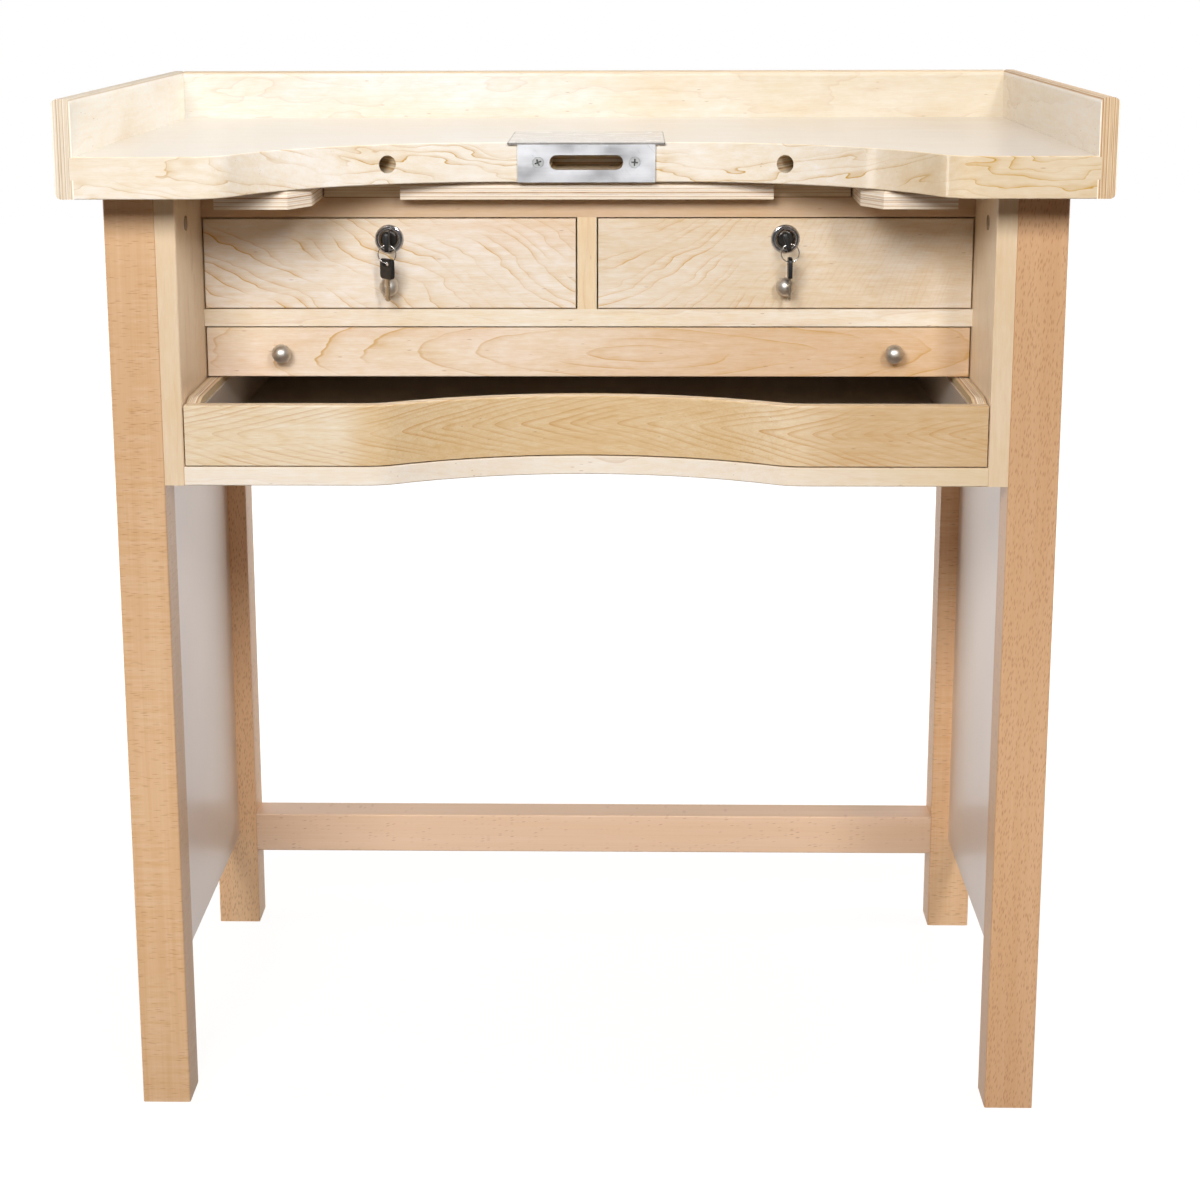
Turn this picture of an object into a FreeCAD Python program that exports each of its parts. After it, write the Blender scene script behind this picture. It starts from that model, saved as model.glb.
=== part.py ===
import FreeCAD, Part
import math
import os
import re

import Sketcher
from FreeCAD import Placement, Rotation, Vector

# Jeweller's bench: a beech frame carries a birch-ply cabinet with three drawers and a filings tray,
# under a thick top with a bay cut-out, raised boards on three sides and a slotted bench-pin plate.
# Millimetres. X runs to the right, +Y to the back, +Z up; the origin is on the floor, in the middle.

sizes = {
    # overall
    "benchWidth": 1000,
    "benchDepth": 620,
    "worktopHeight": 1000,
    # bench top and the boards that stand around it
    "topThickness": 40,
    "boardThickness": 18,
    "boardRise": 54,
    "boardGroove": 3,
    "topTongue": 21,
    "tongueDrop": 1,
    "boardRounding": 6,
    "topEdge": 0.8,
    # bay cut-out in the top: a flat middle, two big hollow arcs and two outer round corners
    "bayDepth": 188,
    "bayFlat": 164,
    "bayRadius": 280,
    "bayCorner": 40,
    # round tool holes, bored square into the bay's arcs
    "toolHoleSpacing": 400,
    "toolHoleDiameter": 18,
    "toolHoleDepth": 60,
    "toolHoleLead": 5,
    # bench-pin fitting
    "pinPlateWidth": 140,
    "pinPlateThickness": 4,
    "coverPlateWidth": 160,
    "coverPlateDepth": 164,
    "coverPlateThickness": 2,
    "pinSlotLength": 75,
    "pinSlotHeight": 15,
    "pinSlotDepth": 60,
    "pinSlotDrop": 20,
    "plateScrewSpacing": 98,
    "plateScrewHead": 12,
    "plateScrewShank": 5,
    "plateScrewLength": 30,
    "coverScrewInset": 15,
    "coverScrewFront": 24,
    "coverScrewBack": 12,
    "coverScrewHead": 7,
    "coverScrewShank": 3.5,
    "coverScrewLength": 18,
    "countersinkAngle": 90,
    # beech frame
    "topOverhang": 30,
    "legSetback": 68,
    "legWidth": 50,
    "legRounding": 2,
    "stretcherHeight": 95,
    "stretcherTall": 48,
    "stretcherDeep": 45,
    "panelThickness": 16,
    "panelRecess": 12,
    "panelBottom": 115,
    "panelTongue": 10,
    "dowelDiameter": 10,
    "legDowelLength": 34,
    "stretcherDowelLength": 46,
    "dowelInLeg": 20,
    "dowelInset": 60,
    "stretcherDowelInset": 12,
    "topDowelLength": 38,
    "dowelInTop": 14,
    # cabinet
    "cabinetSide": 20,
    "cabinetInset": 12,
    "backThickness": 12,
    "bottomBoardThickness": 19,
    "drawerSetback": 149,
    "topPanelThickness": 20,
    "shelfThickness": 18,
    "dividerThickness": 20,
    "carcassEdge": 1,
    # cam fittings that pull the top down on the cabinet sides
    "camDiameter": 15,
    "camDepth": 13,
    "camProud": 1,
    "camDrop": 35,
    "camInset": 57,
    "camBoltDiameter": 7,
    "camBoltInTop": 12,
    # sliding boards between the cabinet and the top
    "slideBoardThickness": 18,
    "slideClearance": 0.6,
    "slideBoardRounding": 6,
    "slideGap": 1.5,
    "armRestWidth": 92,
    "armRestBackGap": 110,
    "armRestFront": 90,
    "armRestSideGap": 35,
    "armCornerAcross": 19,
    "armCornerAlong": 37,
    "pullArmGap": 82,
    "pullBoardBackGap": 65,
    "pullBoardFront": 195,
    "guideBackGap": 36,
    # drawers
    "frontThickness": 18,
    "frontEdge": 0.8,
    "frontGap": 1.5,
    "lowerGap": 1,
    "seatGap": 0.3,
    "drawerFrontHeight": 93,
    "wideFrontHeight": 51.5,
    "boxBackGap": 21,
    "boxSide": 12,
    "boxSideDrop": 13,
    "wideSideDrop": 7.5,
    "floorThickness": 4,
    "floorLift": 8,
    "floorGroove": 5,
    "runnerThickness": 6.5,
    "runnerHeight": 9.4,
    "runnerGroove": 6,
    "runnerLift": 18,
    "runnerSetback": 5,
    "runnerBackGap": 6,
    # knobs
    "knobDiameter": 20,
    "knobCentre": 12.5,
    "knobNeck": 8,
    "knobStud": 4,
    "knobStudLength": 14,
    "drawerKnobHeight": 24,
    "wideKnobInset": 81,
    # drawer locks and their keys
    "lockHeight": 72,
    "lockFlange": 30,
    "lockFace": 4,
    "lockLip": 0.7,
    "lockEase": 0.3,
    "lockMouth": 1.6,
    "lockGrooveWidth": 0.8,
    "lockGrooveDepth": 2.4,
    "lockRimWidth": 3,
    "lockRimDrop": 1.3,
    "lockRimFall": 2.2,
    "lockBarrel": 19,
    "barrelGap": 0.1,
    "lockBarrelLength": 26,
    "lockNut": 27,
    "lockNutThickness": 4,
    "plugDiameter": 16,
    "plugClearance": 0.1,
    "plugSet": 0.8,
    "plugEase": 0.8,
    "plugTail": 1.5,
    "plugTailDiameter": 8,
    "camLength": 30,
    "camWidth": 14,
    "camThickness": 3,
    "camCorner": 3.5,
    "camPocketHeight": 11,
    "camPocketLength": 34,
    "camPocketDepth": 11,
    "camPocketMargin": 2,
    "keyBow": 21,
    "keyBowThickness": 4.4,
    "keyBowCorner": 4,
    "keySlotLength": 9,
    "keySlotWidth": 3.8,
    "keySlotInset": 3.6,
    "keyBladeWidth": 7,
    "keyBladeThickness": 2,
    "keyBladeLength": 23,
    "keyTipLength": 1.5,
    "keyTipInset": 2,
    "keyInLock": 15,
    "keywayGap": 0.15,
    "keywayEnd": 0.5,
    "ringRadius": 9.2,
    "ringWire": 1.2,
    "ringGap": 0.45,
    # filings tray
    "trayFrontHeight": 60.5,
    "trayFrontThickness": 16,
    "traySideThickness": 14,
    "traySideRise": 3.5,
    "traySlope": 16,
    "trayBackGap": 12,
    "trayGap": 1.4,
    "trayFloorThickness": 6,
    "trayFloorLift": 3,
    "trayBackDrop": 2.7,
    "linerThickness": 2,
    "linerDrop": 3.7,
    "linerGap": 0.3,
    "apronDepth": 59.5,
    "apronRadius": 370,
    "apronCorner": 60,
    # how far a cut starts outside its piece
    "overcut": 1,
}

roughSize = 20  # size at which sketch lines are drawn, before their formulas take hold
touch = 0.01  # distance within which an edge lies on a side of its body
rightKeyTurn = 17  # degrees that the right-hand key stands past upright
leftKeyYaw = 40  # degrees that the left spare key hangs turned from edge-on

# widths, lengths, heights and places that follow from the sizes above
derived = {
    # widths
    "topWidth": "benchWidth - 2 * boardThickness + 2 * boardGroove",
    "baseWidth": "benchWidth - 2 * topOverhang",
    "legSpan": "baseWidth - 2 * legWidth",
    "cabinetInside": "legSpan / 2 - cabinetSide",
    "fullWidth": "2 * cabinetInside - 2 * frontGap",
    "drawerWidth": "cabinetInside - dividerThickness / 2 - 2 * frontGap",
    "drawerOffset": "dividerThickness / 2 + frontGap + drawerWidth / 2",
    "armRestOffset": "cabinetInside - armRestSideGap - armRestWidth",
    "pullBoardWidth": "2 * (armRestOffset - pullArmGap)",
    "trayInside": "fullWidth - 2 * traySideThickness",
    # places from the front to the back
    "benchFront": "-benchDepth / 2",
    "cabinetFront": "benchFront + legSetback",
    "drawerPlane": "cabinetFront + drawerSetback",
    "rearLegFront": "benchDepth / 2 - legWidth",
    "cabinetDepth": "benchDepth - legSetback - cabinetInset",
    "insideDepth": "cabinetDepth - backThickness",
    "behindDrawers": "insideDepth - drawerSetback",
    "boxFront": "drawerPlane + frontThickness",
    "boxLength": "behindDrawers - frontThickness - boxBackGap",
    "runnerLength": "behindDrawers - frontThickness - runnerSetback - runnerBackGap",
    "guideLength": "behindDrawers - guideBackGap",
    "armRestLength": "benchDepth - armRestFront - armRestBackGap",
    "pullBoardLength": "benchDepth - pullBoardFront - pullBoardBackGap",
    "trayBoxFront": "cabinetFront + trayFrontThickness",
    "trayLength": "insideDepth - trayFrontThickness - trayBackGap",
    # heights, from the worktop down
    "tongueBottom": "topThickness - tongueDrop - topTongue",
    "underTop": "worktopHeight - topThickness",
    "panelHeight": "underTop - panelBottom",
    "slideWayHeight": "slideBoardThickness + slideClearance",
    "slideWayBottom": "underTop - slideWayHeight",
    "topPanelBottom": "slideWayBottom - topPanelThickness",
    "drawerBottom": "topPanelBottom - frontGap - drawerFrontHeight",
    "boxSideHeight": "drawerFrontHeight - boxSideDrop",
    "shelfTop": "drawerBottom - lowerGap",
    "wideBottom": "shelfTop - shelfThickness - frontGap - wideFrontHeight",
    "wideSideHeight": "wideFrontHeight - wideSideDrop",
    "trayFrontTop": "wideBottom - trayGap - traySideRise",
    "trayFrontBottom": "trayFrontTop - trayFrontHeight",
    "trayRest": "trayFrontBottom - frontGap",
    "traySideHeight": "trayFrontTop + traySideRise - trayRest - seatGap",
    "trayFloorBottom": "trayRest + seatGap + trayFloorLift",
    "linerBottom": "trayFloorBottom + trayFloorThickness",
    "trayBackHeight": "trayFrontTop - trayBackDrop - linerBottom",
    "linerHeight": "trayFrontTop - linerDrop - linerBottom",
    "cabinetBottom": "trayRest - bottomBoardThickness",
    "sideHeight": "underTop - cabinetBottom",
    # cams, locks and keys
    "boltX": "cabinetInside + cabinetSide / 2",
    "frontCamY": "cabinetFront + camInset",
    "rearDowelY": "cabinetFront + cabinetDepth - camInset",
    "camZ": "underTop - camDrop",
    "plugFace": "lockFace - plugSet",
    "camPocketY": "lockBarrelLength - camPocketMargin",
    "slotMiddle": "keySlotInset + keySlotWidth / 2",
    "keyReach": "keyBow - slotMiddle + keyBladeLength",
    "ringPlane": "drawerPlane - plugFace + keyInLock - keyReach",
}

doc = FreeCAD.newDocument("JewellersBench")
sheet = doc.addObject("Spreadsheet::Sheet", "Sizes")
for row, (name, value) in enumerate([*sizes.items(), *derived.items()], start=1):
    sheet.set("A%d" % row, name)
    sheet.set("B%d" % row, str(value) if name in sizes else "=" + value)
    sheet.setAlias("B%d" % row, name)
doc.recompute()

subparts = []


def known(name):
    return name in sizes or name in derived


def inSheet(formula):
    """The formula with every size named through the spreadsheet."""
    return re.sub(r"[A-Za-z]\w*", lambda m: "Sizes." + m.group() if known(m.group()) else m.group(), formula)


def bind(thing, prop, formula):
    thing.setExpression(prop, inSheet(formula))


def place(thing, x="0", y="0", z="0"):
    for axis, formula in zip("xyz", (x, y, z)):
        bind(thing, "Placement.Base." + axis, formula)


def keep(thing):
    """Marks a finished sub-part for export."""
    subparts.append(thing)
    return thing


def newBody(label, x="0", y="0", z="0"):
    body = doc.addObject("PartDesign::Body", label)
    body.Label = label
    place(body, x, y, z)
    return body


def newSketch(body, name, plane="XY_Plane", lift="0"):
    sketch = body.newObject("Sketcher::SketchObject", name)
    origin = [feature for feature in body.Origin.OriginFeatures if feature.Role == plane][0]
    sketch.AttachmentSupport = [(origin, "")]
    sketch.MapMode = "FlatFace"
    bind(sketch, "AttachmentOffset.Base.z", lift)
    return sketch


def pin(sketch, geometry, vertex, x, y):
    """Ties one point of a sketch to the sketch's origin by two formulas."""
    point = sketch.getPoint(geometry, vertex)
    for kind, start, formula in (("DistanceX", point.x, x), ("DistanceY", point.y, y)):
        number = sketch.addConstraint(Sketcher.Constraint(kind, -1, 1, geometry, vertex, start))
        bind(sketch, "Constraints[%d]" % number, formula)


def outline(sketch, points):
    """Closed straight-sided outline; each corner is a pair of formulas, counter-clockwise."""
    count = len(points)
    firstLine = sketch.GeometryCount
    turn = math.tau / count
    ring = [Vector(math.cos(n * turn), math.sin(n * turn), 0) * roughSize for n in range(count)]
    for n in range(count):
        sketch.addGeometry(Part.LineSegment(ring[n], ring[(n + 1) % count]))
    for n in range(count):
        following = firstLine + (n + 1) % count
        sketch.addConstraint(Sketcher.Constraint("Coincident", firstLine + n, 2, following, 1))
    for n, (x, y) in enumerate(points):
        pin(sketch, firstLine + n, 1, x, y)


def rectangle(sketch, left, bottom, width, height):
    right = "%s + %s" % (left, width)
    top = "%s + %s" % (bottom, height)
    outline(sketch, [(left, bottom), (right, bottom), (right, top), (left, top)])


def circle(sketch, x, y, diameter):
    number = sketch.addGeometry(Part.Circle(Vector(0, 0, 0), Vector(0, 0, 1), roughSize / 2))
    pin(sketch, number, 3, x, y)
    constraint = sketch.addConstraint(Sketcher.Constraint("Diameter", number, roughSize))
    bind(sketch, "Constraints[%d]" % constraint, diameter)


def stadium(sketch, length, height, middle):
    """Long round-ended slot, level and centred on the sketch's upright axis."""
    half, radius = roughSize, roughSize / 2
    lower = sketch.addGeometry(Part.LineSegment(Vector(-half, -radius, 0), Vector(half, -radius, 0)))
    right = Part.Circle(Vector(half, 0, 0), Vector(0, 0, 1), radius)
    rightEnd = sketch.addGeometry(Part.ArcOfCircle(right, -math.pi / 2, math.pi / 2))
    upper = sketch.addGeometry(Part.LineSegment(Vector(half, radius, 0), Vector(-half, radius, 0)))
    left = Part.Circle(Vector(-half, 0, 0), Vector(0, 0, 1), radius)
    leftEnd = sketch.addGeometry(Part.ArcOfCircle(left, math.pi / 2, 3 * math.pi / 2))
    for one, other in ((lower, rightEnd), (rightEnd, upper), (upper, leftEnd), (leftEnd, lower)):
        sketch.addConstraint(Sketcher.Constraint("Tangent", one, 2, other, 1))
    sketch.addConstraint(Sketcher.Constraint("Equal", rightEnd, leftEnd))
    sketch.addConstraint(Sketcher.Constraint("Symmetric", rightEnd, 3, leftEnd, 3, -2))
    reach = sketch.addConstraint(Sketcher.Constraint("DistanceX", leftEnd, 3, rightEnd, 3, 2 * half))
    bind(sketch, "Constraints[%d]" % reach, "%s - %s" % (length, height))
    ends = sketch.addConstraint(Sketcher.Constraint("Radius", rightEnd, radius))
    bind(sketch, "Constraints[%d]" % ends, "%s / 2" % height)
    level = sketch.addConstraint(Sketcher.Constraint("DistanceY", -1, 1, rightEnd, 3, 0))
    bind(sketch, "Constraints[%d]" % level, middle)


def pad(body, sketch, length, backwards=False, midplane=False):
    feature = body.newObject("PartDesign::Pad", sketch.Name + "Pad")
    feature.Profile = sketch
    feature.Reversed = backwards
    feature.Midplane = midplane
    bind(feature, "Length", length)
    return feature


def pocket(body, sketch, length, backwards=False, midplane=False):
    """Cuts the sketch into the body; a cut that removes nothing is an error."""
    doc.recompute()
    before = body.Shape.Volume
    feature = body.newObject("PartDesign::Pocket", sketch.Name + "Cut")
    feature.Profile = sketch
    feature.Reversed = backwards
    feature.Midplane = midplane
    bind(feature, "Length", length)
    doc.recompute()
    if not body.Shape.Volume < before:
        raise RuntimeError("%s cuts nothing from %s" % (sketch.Name, body.Label))
    return feature


def revolve(body, sketch):
    """Turns the sketch about its own upright axis."""
    feature = body.newObject("PartDesign::Revolution", sketch.Name + "Turned")
    feature.Profile = sketch
    feature.ReferenceAxis = (sketch, ["V_Axis"])
    feature.Angle = 360
    return feature


def cutBox(body, name, corner, width, depth, height):
    """Box-shaped recess whose lowest left front corner is given in the body's own frame."""
    sketch = newSketch(body, name, "XY_Plane", corner[2])
    rectangle(sketch, corner[0], corner[1], width, depth)
    return pocket(body, sketch, height, backwards=True)


def onSides(edge, box, sides):
    """True if the edge lies on each named side of its body's bounding box."""
    reach = edge.BoundBox
    lies = {
        "left": reach.XMax < box.XMin + touch,
        "right": reach.XMin > box.XMax - touch,
        "front": reach.YMax < box.YMin + touch,
        "back": reach.YMin > box.YMax - touch,
        "bottom": reach.ZMax < box.ZMin + touch,
        "top": reach.ZMin > box.ZMax - touch,
    }
    return all(lies[side] for side in sides.split())


def pickEdges(body, wanted):
    """The body's last feature with its edges picked by a function, or by words such as "top front"."""
    doc.recompute()
    tip = body.Tip
    box = tip.Shape.BoundBox

    def pick(edge):
        if callable(wanted):
            return wanted(edge)
        return any(onSides(edge, box, sides) for sides in wanted)

    return tip, ["Edge%d" % number for number, edge in enumerate(tip.Shape.Edges, start=1) if pick(edge)]


def roundEdges(body, radius, wanted):
    picked = pickEdges(body, wanted)
    feature = body.newObject("PartDesign::Fillet", "Rounding")
    feature.Base = picked
    bind(feature, "Radius", radius)


def breakEdges(body, size, wanted):
    """Takes the sharpness off edges with a narrow flat."""
    picked = pickEdges(body, wanted)
    feature = body.newObject("PartDesign::Chamfer", "BrokenEdge")
    feature.Base = picked
    bind(feature, "Size", size)


def board(label, width, depth, height, corner=("0", "0", "0"), rounding=None, edges=()):
    """Plain board with its lowest left front corner at the given place."""
    body = newBody(label, *corner)
    sketch = newSketch(body, label + "Outline")
    rectangle(sketch, "0", "0", width, depth)
    pad(body, sketch, height)
    if rounding:
        roundEdges(body, rounding, edges)
    return body


def mirrored(label, source, centre="0"):
    """The same piece on the other side of an upright plane."""
    twin = doc.addObject("Part::Mirroring", label)
    twin.Label = label
    twin.Source = source
    twin.Normal = Vector(1, 0, 0)
    bind(twin, "Base.x", centre)
    return twin


def group(label, members):
    """Identical pieces that share one node, each a solid of its own."""
    compound = doc.addObject("Part::Compound", label)
    compound.Label = label
    compound.Links = members
    return keep(compound)


# ---- curved fronts -------------------------------------------------------------------------------

topBay = {"flat": "bayFlat", "depth": "bayDepth", "radius": "bayRadius", "corner": "bayCorner"}
apronBay = {"flat": None, "depth": "apronDepth", "radius": "apronRadius", "corner": "apronCorner"}


def bayFront(sketch, bay, width, setbacks=()):
    """Front edge with a bay: straight wings, a round corner and a hollow arc on each side.

    The edge runs behind the bay's own line by the sum of the named setbacks, and parallel to it.
    Returns its first and last lines.
    """
    inset = "(%s)" % " + ".join(setbacks) if setbacks else "0"
    back = sum(sizes[name] for name in setbacks)
    half = sheet.get("topWidth") / 2
    flat = sizes[bay["flat"]] / 2 if bay["flat"] else 0
    depth, radius, corner = (sizes[bay[key]] for key in ("depth", "radius", "corner"))
    centreY = depth - radius
    reach = math.sqrt((radius + corner) ** 2 - (corner - centreY) ** 2)
    lean = math.atan2(corner - centreY, reach)
    cornerX = flat + reach
    up = Vector(0, 0, 1)

    def arc(x, y, size, start, end):
        return sketch.addGeometry(Part.ArcOfCircle(Part.Circle(Vector(x, y, 0), up, size), start, end))

    first = sketch.addGeometry(Part.LineSegment(Vector(-half, back, 0), Vector(-cornerX, back, 0)))
    leftCorner = arc(-cornerX, corner, corner - back, -math.pi / 2, -lean)
    rightCorner = arc(cornerX, corner, corner - back, math.pi + lean, 3 * math.pi / 2)
    last = sketch.addGeometry(Part.LineSegment(Vector(cornerX, back, 0), Vector(half, back, 0)))
    joints = [(first, 2, leftCorner, 1), (rightCorner, 2, last, 1)]
    radii = [(leftCorner, "%s - %s" % (bay["corner"], inset))]
    equals = [(leftCorner, rightCorner)]
    if flat:
        leftHollow = arc(-flat, centreY, radius + back, math.pi / 2, math.pi - lean)
        ends = (Vector(-flat, depth + back, 0), Vector(flat, depth + back, 0))
        middle = sketch.addGeometry(Part.LineSegment(*ends))
        rightHollow = arc(flat, centreY, radius + back, lean, math.pi / 2)
        joints += [(leftCorner, 2, leftHollow, 2), (leftHollow, 1, middle, 1)]
        joints += [(middle, 2, rightHollow, 2), (rightHollow, 1, rightCorner, 1)]
        equals.append((leftHollow, rightHollow))
        radii.append((leftHollow, "%s + %s" % (bay["radius"], inset)))
    else:
        hollow = arc(0, centreY, radius + back, lean, math.pi - lean)
        joints += [(leftCorner, 2, hollow, 2), (hollow, 1, rightCorner, 1)]
        radii.append((hollow, "%s + %s" % (bay["radius"], inset)))
    for one, oneEnd, other, otherEnd in joints:
        sketch.addConstraint(Sketcher.Constraint("Tangent", one, oneEnd, other, otherEnd))
    for one, other in equals:
        sketch.addConstraint(Sketcher.Constraint("Equal", one, other))
    for number, formula in radii:
        radius = sketch.Geometry[number].Radius
        constraint = sketch.addConstraint(Sketcher.Constraint("Radius", number, radius))
        bind(sketch, "Constraints[%d]" % constraint, formula)
    sketch.addConstraint(Sketcher.Constraint("Horizontal", first))
    sketch.addConstraint(Sketcher.Constraint("Horizontal", last))
    pin(sketch, first, 1, "-(%s) / 2" % width, inset)
    pin(sketch, last, 2, "%s / 2" % width, inset)
    if flat:
        sketch.addConstraint(Sketcher.Constraint("Symmetric", middle, 1, middle, 2, -2))
        span = sketch.addConstraint(Sketcher.Constraint("DistanceX", middle, 1, middle, 2, 2 * flat))
        bind(sketch, "Constraints[%d]" % span, bay["flat"])
        level = sketch.addConstraint(Sketcher.Constraint("DistanceY", -1, 1, middle, 1, depth + back))
        bind(sketch, "Constraints[%d]" % level, "%s + %s" % (bay["depth"], inset))
    else:
        sketch.addConstraint(Sketcher.Constraint("PointOnObject", hollow, 3, -2))
        level = sketch.addConstraint(Sketcher.Constraint("DistanceY", -1, 1, hollow, 3, centreY))
        bind(sketch, "Constraints[%d]" % level, "%s - %s" % (bay["depth"], bay["radius"]))
    return first, last


def closeBehind(sketch, first, last, depth):
    """Joins the ends of a bay front with two straight sides and a straight back."""
    start = sketch.getPoint(first, 1)
    end = sketch.getPoint(last, 2)
    back = end.y + sizes["benchDepth"]
    right = sketch.addGeometry(Part.LineSegment(end, Vector(end.x, back, 0)))
    behind = sketch.addGeometry(Part.LineSegment(Vector(end.x, back, 0), Vector(start.x, back, 0)))
    left = sketch.addGeometry(Part.LineSegment(Vector(start.x, back, 0), start))
    corners = ((last, 2, right, 1), (right, 2, behind, 1), (behind, 2, left, 1), (left, 2, first, 1))
    for one, oneEnd, other, otherEnd in corners:
        sketch.addConstraint(Sketcher.Constraint("Coincident", one, oneEnd, other, otherEnd))
    sketch.addConstraint(Sketcher.Constraint("Vertical", right))
    sketch.addConstraint(Sketcher.Constraint("Vertical", left))
    sketch.addConstraint(Sketcher.Constraint("Horizontal", behind))
    number = sketch.addConstraint(Sketcher.Constraint("DistanceY", -1, 1, behind, 1, back))
    bind(sketch, "Constraints[%d]" % number, depth)


def closeEnds(sketch, outer, inner):
    """Joins two bay fronts, one behind the other, by a short line at each end."""
    for one, other, end in ((outer[0], inner[0], 1), (outer[1], inner[1], 2)):
        line = sketch.addGeometry(Part.LineSegment(sketch.getPoint(one, end), sketch.getPoint(other, end)))
        sketch.addConstraint(Sketcher.Constraint("Coincident", line, 1, one, end))
        sketch.addConstraint(Sketcher.Constraint("Coincident", line, 2, other, end))


def alongBay(body, level):
    """Picks the edges of a bay front at the top or bottom of a body."""
    doc.recompute()
    box = body.Tip.Shape.BoundBox
    limit = box.YMin + sizes["bayDepth"] + 1

    def pick(edge):
        reach = edge.BoundBox
        onLevel = onSides(edge, box, level)
        atEnd = onSides(edge, box, "left") or onSides(edge, box, "right")
        return onLevel and reach.YMax < limit and not atEnd

    return pick


# ---- beech frame ---------------------------------------------------------------------------------

legDowelHeights = ("cabinetBottom + dowelInset", "underTop - dowelInset")
stretcherDowelHeights = ("stretcherHeight + stretcherDowelInset",
                         "stretcherHeight + stretcherTall - stretcherDowelInset")


def leg(label, y, grooveAt, extraDowels):
    """Left-hand leg with its panel groove and dowel holes."""
    body = board(label, "legWidth", "legWidth", "underTop", ("-baseWidth / 2", y, "0"), "legRounding",
                 ("left front", "right front", "left back", "right back"))
    cutBox(body, label + "Groove", ("panelRecess", grooveAt, "panelBottom"),
           "panelThickness", "panelTongue", "panelHeight")
    sketch = newSketch(body, label + "Dowels", "YZ_Plane", "legWidth")
    for height in legDowelHeights:
        circle(sketch, "legWidth / 2", height, "dowelDiameter")
    for height in extraDowels:
        circle(sketch, "stretcherDeep / 2", height, "dowelDiameter")
    pocket(body, sketch, "dowelInLeg")
    return keep(body)


def legs():
    frontLeg = leg("front_left_leg", "cabinetFront", "legWidth - panelTongue", ())
    rearLeg = leg("rear_left_leg", "rearLegFront", "0", stretcherDowelHeights)
    keep(mirrored("front_right_leg", frontLeg))
    keep(mirrored("rear_right_leg", rearLeg))


def rearStretcher():
    body = newBody("rear_stretcher", "0", "rearLegFront", "stretcherHeight")
    sketch = newSketch(body, "StretcherOutline")
    rectangle(sketch, "-legSpan / 2", "0", "legSpan", "stretcherDeep")
    pad(body, sketch, "stretcherTall")
    roundEdges(body, "legRounding", ("top front", "bottom front", "top back", "bottom back"))
    for end, lift, backwards in (("Left", "-legSpan / 2", True), ("Right", "legSpan / 2", False)):
        holes = newSketch(body, end + "Dowels", "YZ_Plane", lift)
        circle(holes, "stretcherDeep / 2", "stretcherDowelInset", "dowelDiameter")
        circle(holes, "stretcherDeep / 2", "stretcherTall - stretcherDowelInset", "dowelDiameter")
        pocket(body, holes, "stretcherDowelLength - dowelInLeg", backwards)
    keep(body)


def sidePanels():
    depth = "(benchDepth - legSetback - 2 * legWidth + 2 * panelTongue)"
    corner = ("-baseWidth / 2 + panelRecess", "cabinetFront + legWidth - panelTongue", "panelBottom")
    panel = keep(board("left_side_panel", "panelThickness", depth, "panelHeight", corner))
    keep(mirrored("right_side_panel", panel))


def dowel(label, x, y, z, length, upright=False):
    """Round dowel that starts at the given point and runs to +X, or upwards."""
    pinShape = doc.addObject("Part::Cylinder", label)
    bind(pinShape, "Radius", "dowelDiameter / 2")
    bind(pinShape, "Height", length)
    if not upright:
        pinShape.Placement = Placement(Vector(0, 0, 0), Rotation(Vector(0, 1, 0), 90))
    place(pinShape, x, y, z)
    return pinShape


def frameDowels():
    """Leg to cabinet, leg to stretcher, and cabinet side up into the top."""
    inner = "-baseWidth / 2 + legWidth - dowelInLeg"
    places = [(inner, y + " + legWidth / 2", height, "legDowelLength", False)
              for y in ("cabinetFront", "rearLegFront") for height in legDowelHeights]
    places += [(inner, "rearLegFront + stretcherDeep / 2", height, "stretcherDowelLength", False)
               for height in stretcherDowelHeights]
    places.append(("-boltX", "rearDowelY", "underTop + dowelInTop - topDowelLength", "topDowelLength", True))
    members = []
    for number, (x, y, z, length, upright) in enumerate(places, start=1):
        pinShape = dowel("FrameDowel%d" % number, x, y, z, length, upright)
        members += [pinShape, mirrored("FrameDowelTwin%d" % number, pinShape)]
    group("frame_dowels", members)


# ---- cabinet -------------------------------------------------------------------------------------

def cabinetSides():
    corner = ("-legSpan / 2", "cabinetFront", "cabinetBottom")
    body = board("left_cabinet_side", "cabinetSide", "cabinetDepth", "sideHeight", corner)
    breakEdges(body, "carcassEdge", ("right front",))
    holes = newSketch(body, "LegDowelHoles", "YZ_Plane", "0")
    for y in ("legWidth / 2", "benchDepth - legSetback - legWidth / 2"):
        for height in ("dowelInset", "sideHeight - dowelInset"):
            circle(holes, y, height, "dowelDiameter")
    pocket(body, holes, "legDowelLength - dowelInLeg", backwards=True)
    cam = newSketch(body, "CamHole", "YZ_Plane", "cabinetSide")
    circle(cam, "camInset", "sideHeight - camDrop", "camDiameter")
    pocket(body, cam, "camDepth - camProud")
    bolt = newSketch(body, "BoltHole", "XY_Plane", "sideHeight")
    circle(bolt, "cabinetSide / 2", "camInset", "camBoltDiameter")
    pocket(body, bolt, "camDrop")
    topDowel = newSketch(body, "TopDowelHole", "XY_Plane", "sideHeight")
    circle(topDowel, "cabinetSide / 2", "cabinetDepth - camInset", "dowelDiameter")
    pocket(body, topDowel, "topDowelLength - dowelInTop")
    keep(body)
    keep(mirrored("right_cabinet_side", body))


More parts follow.
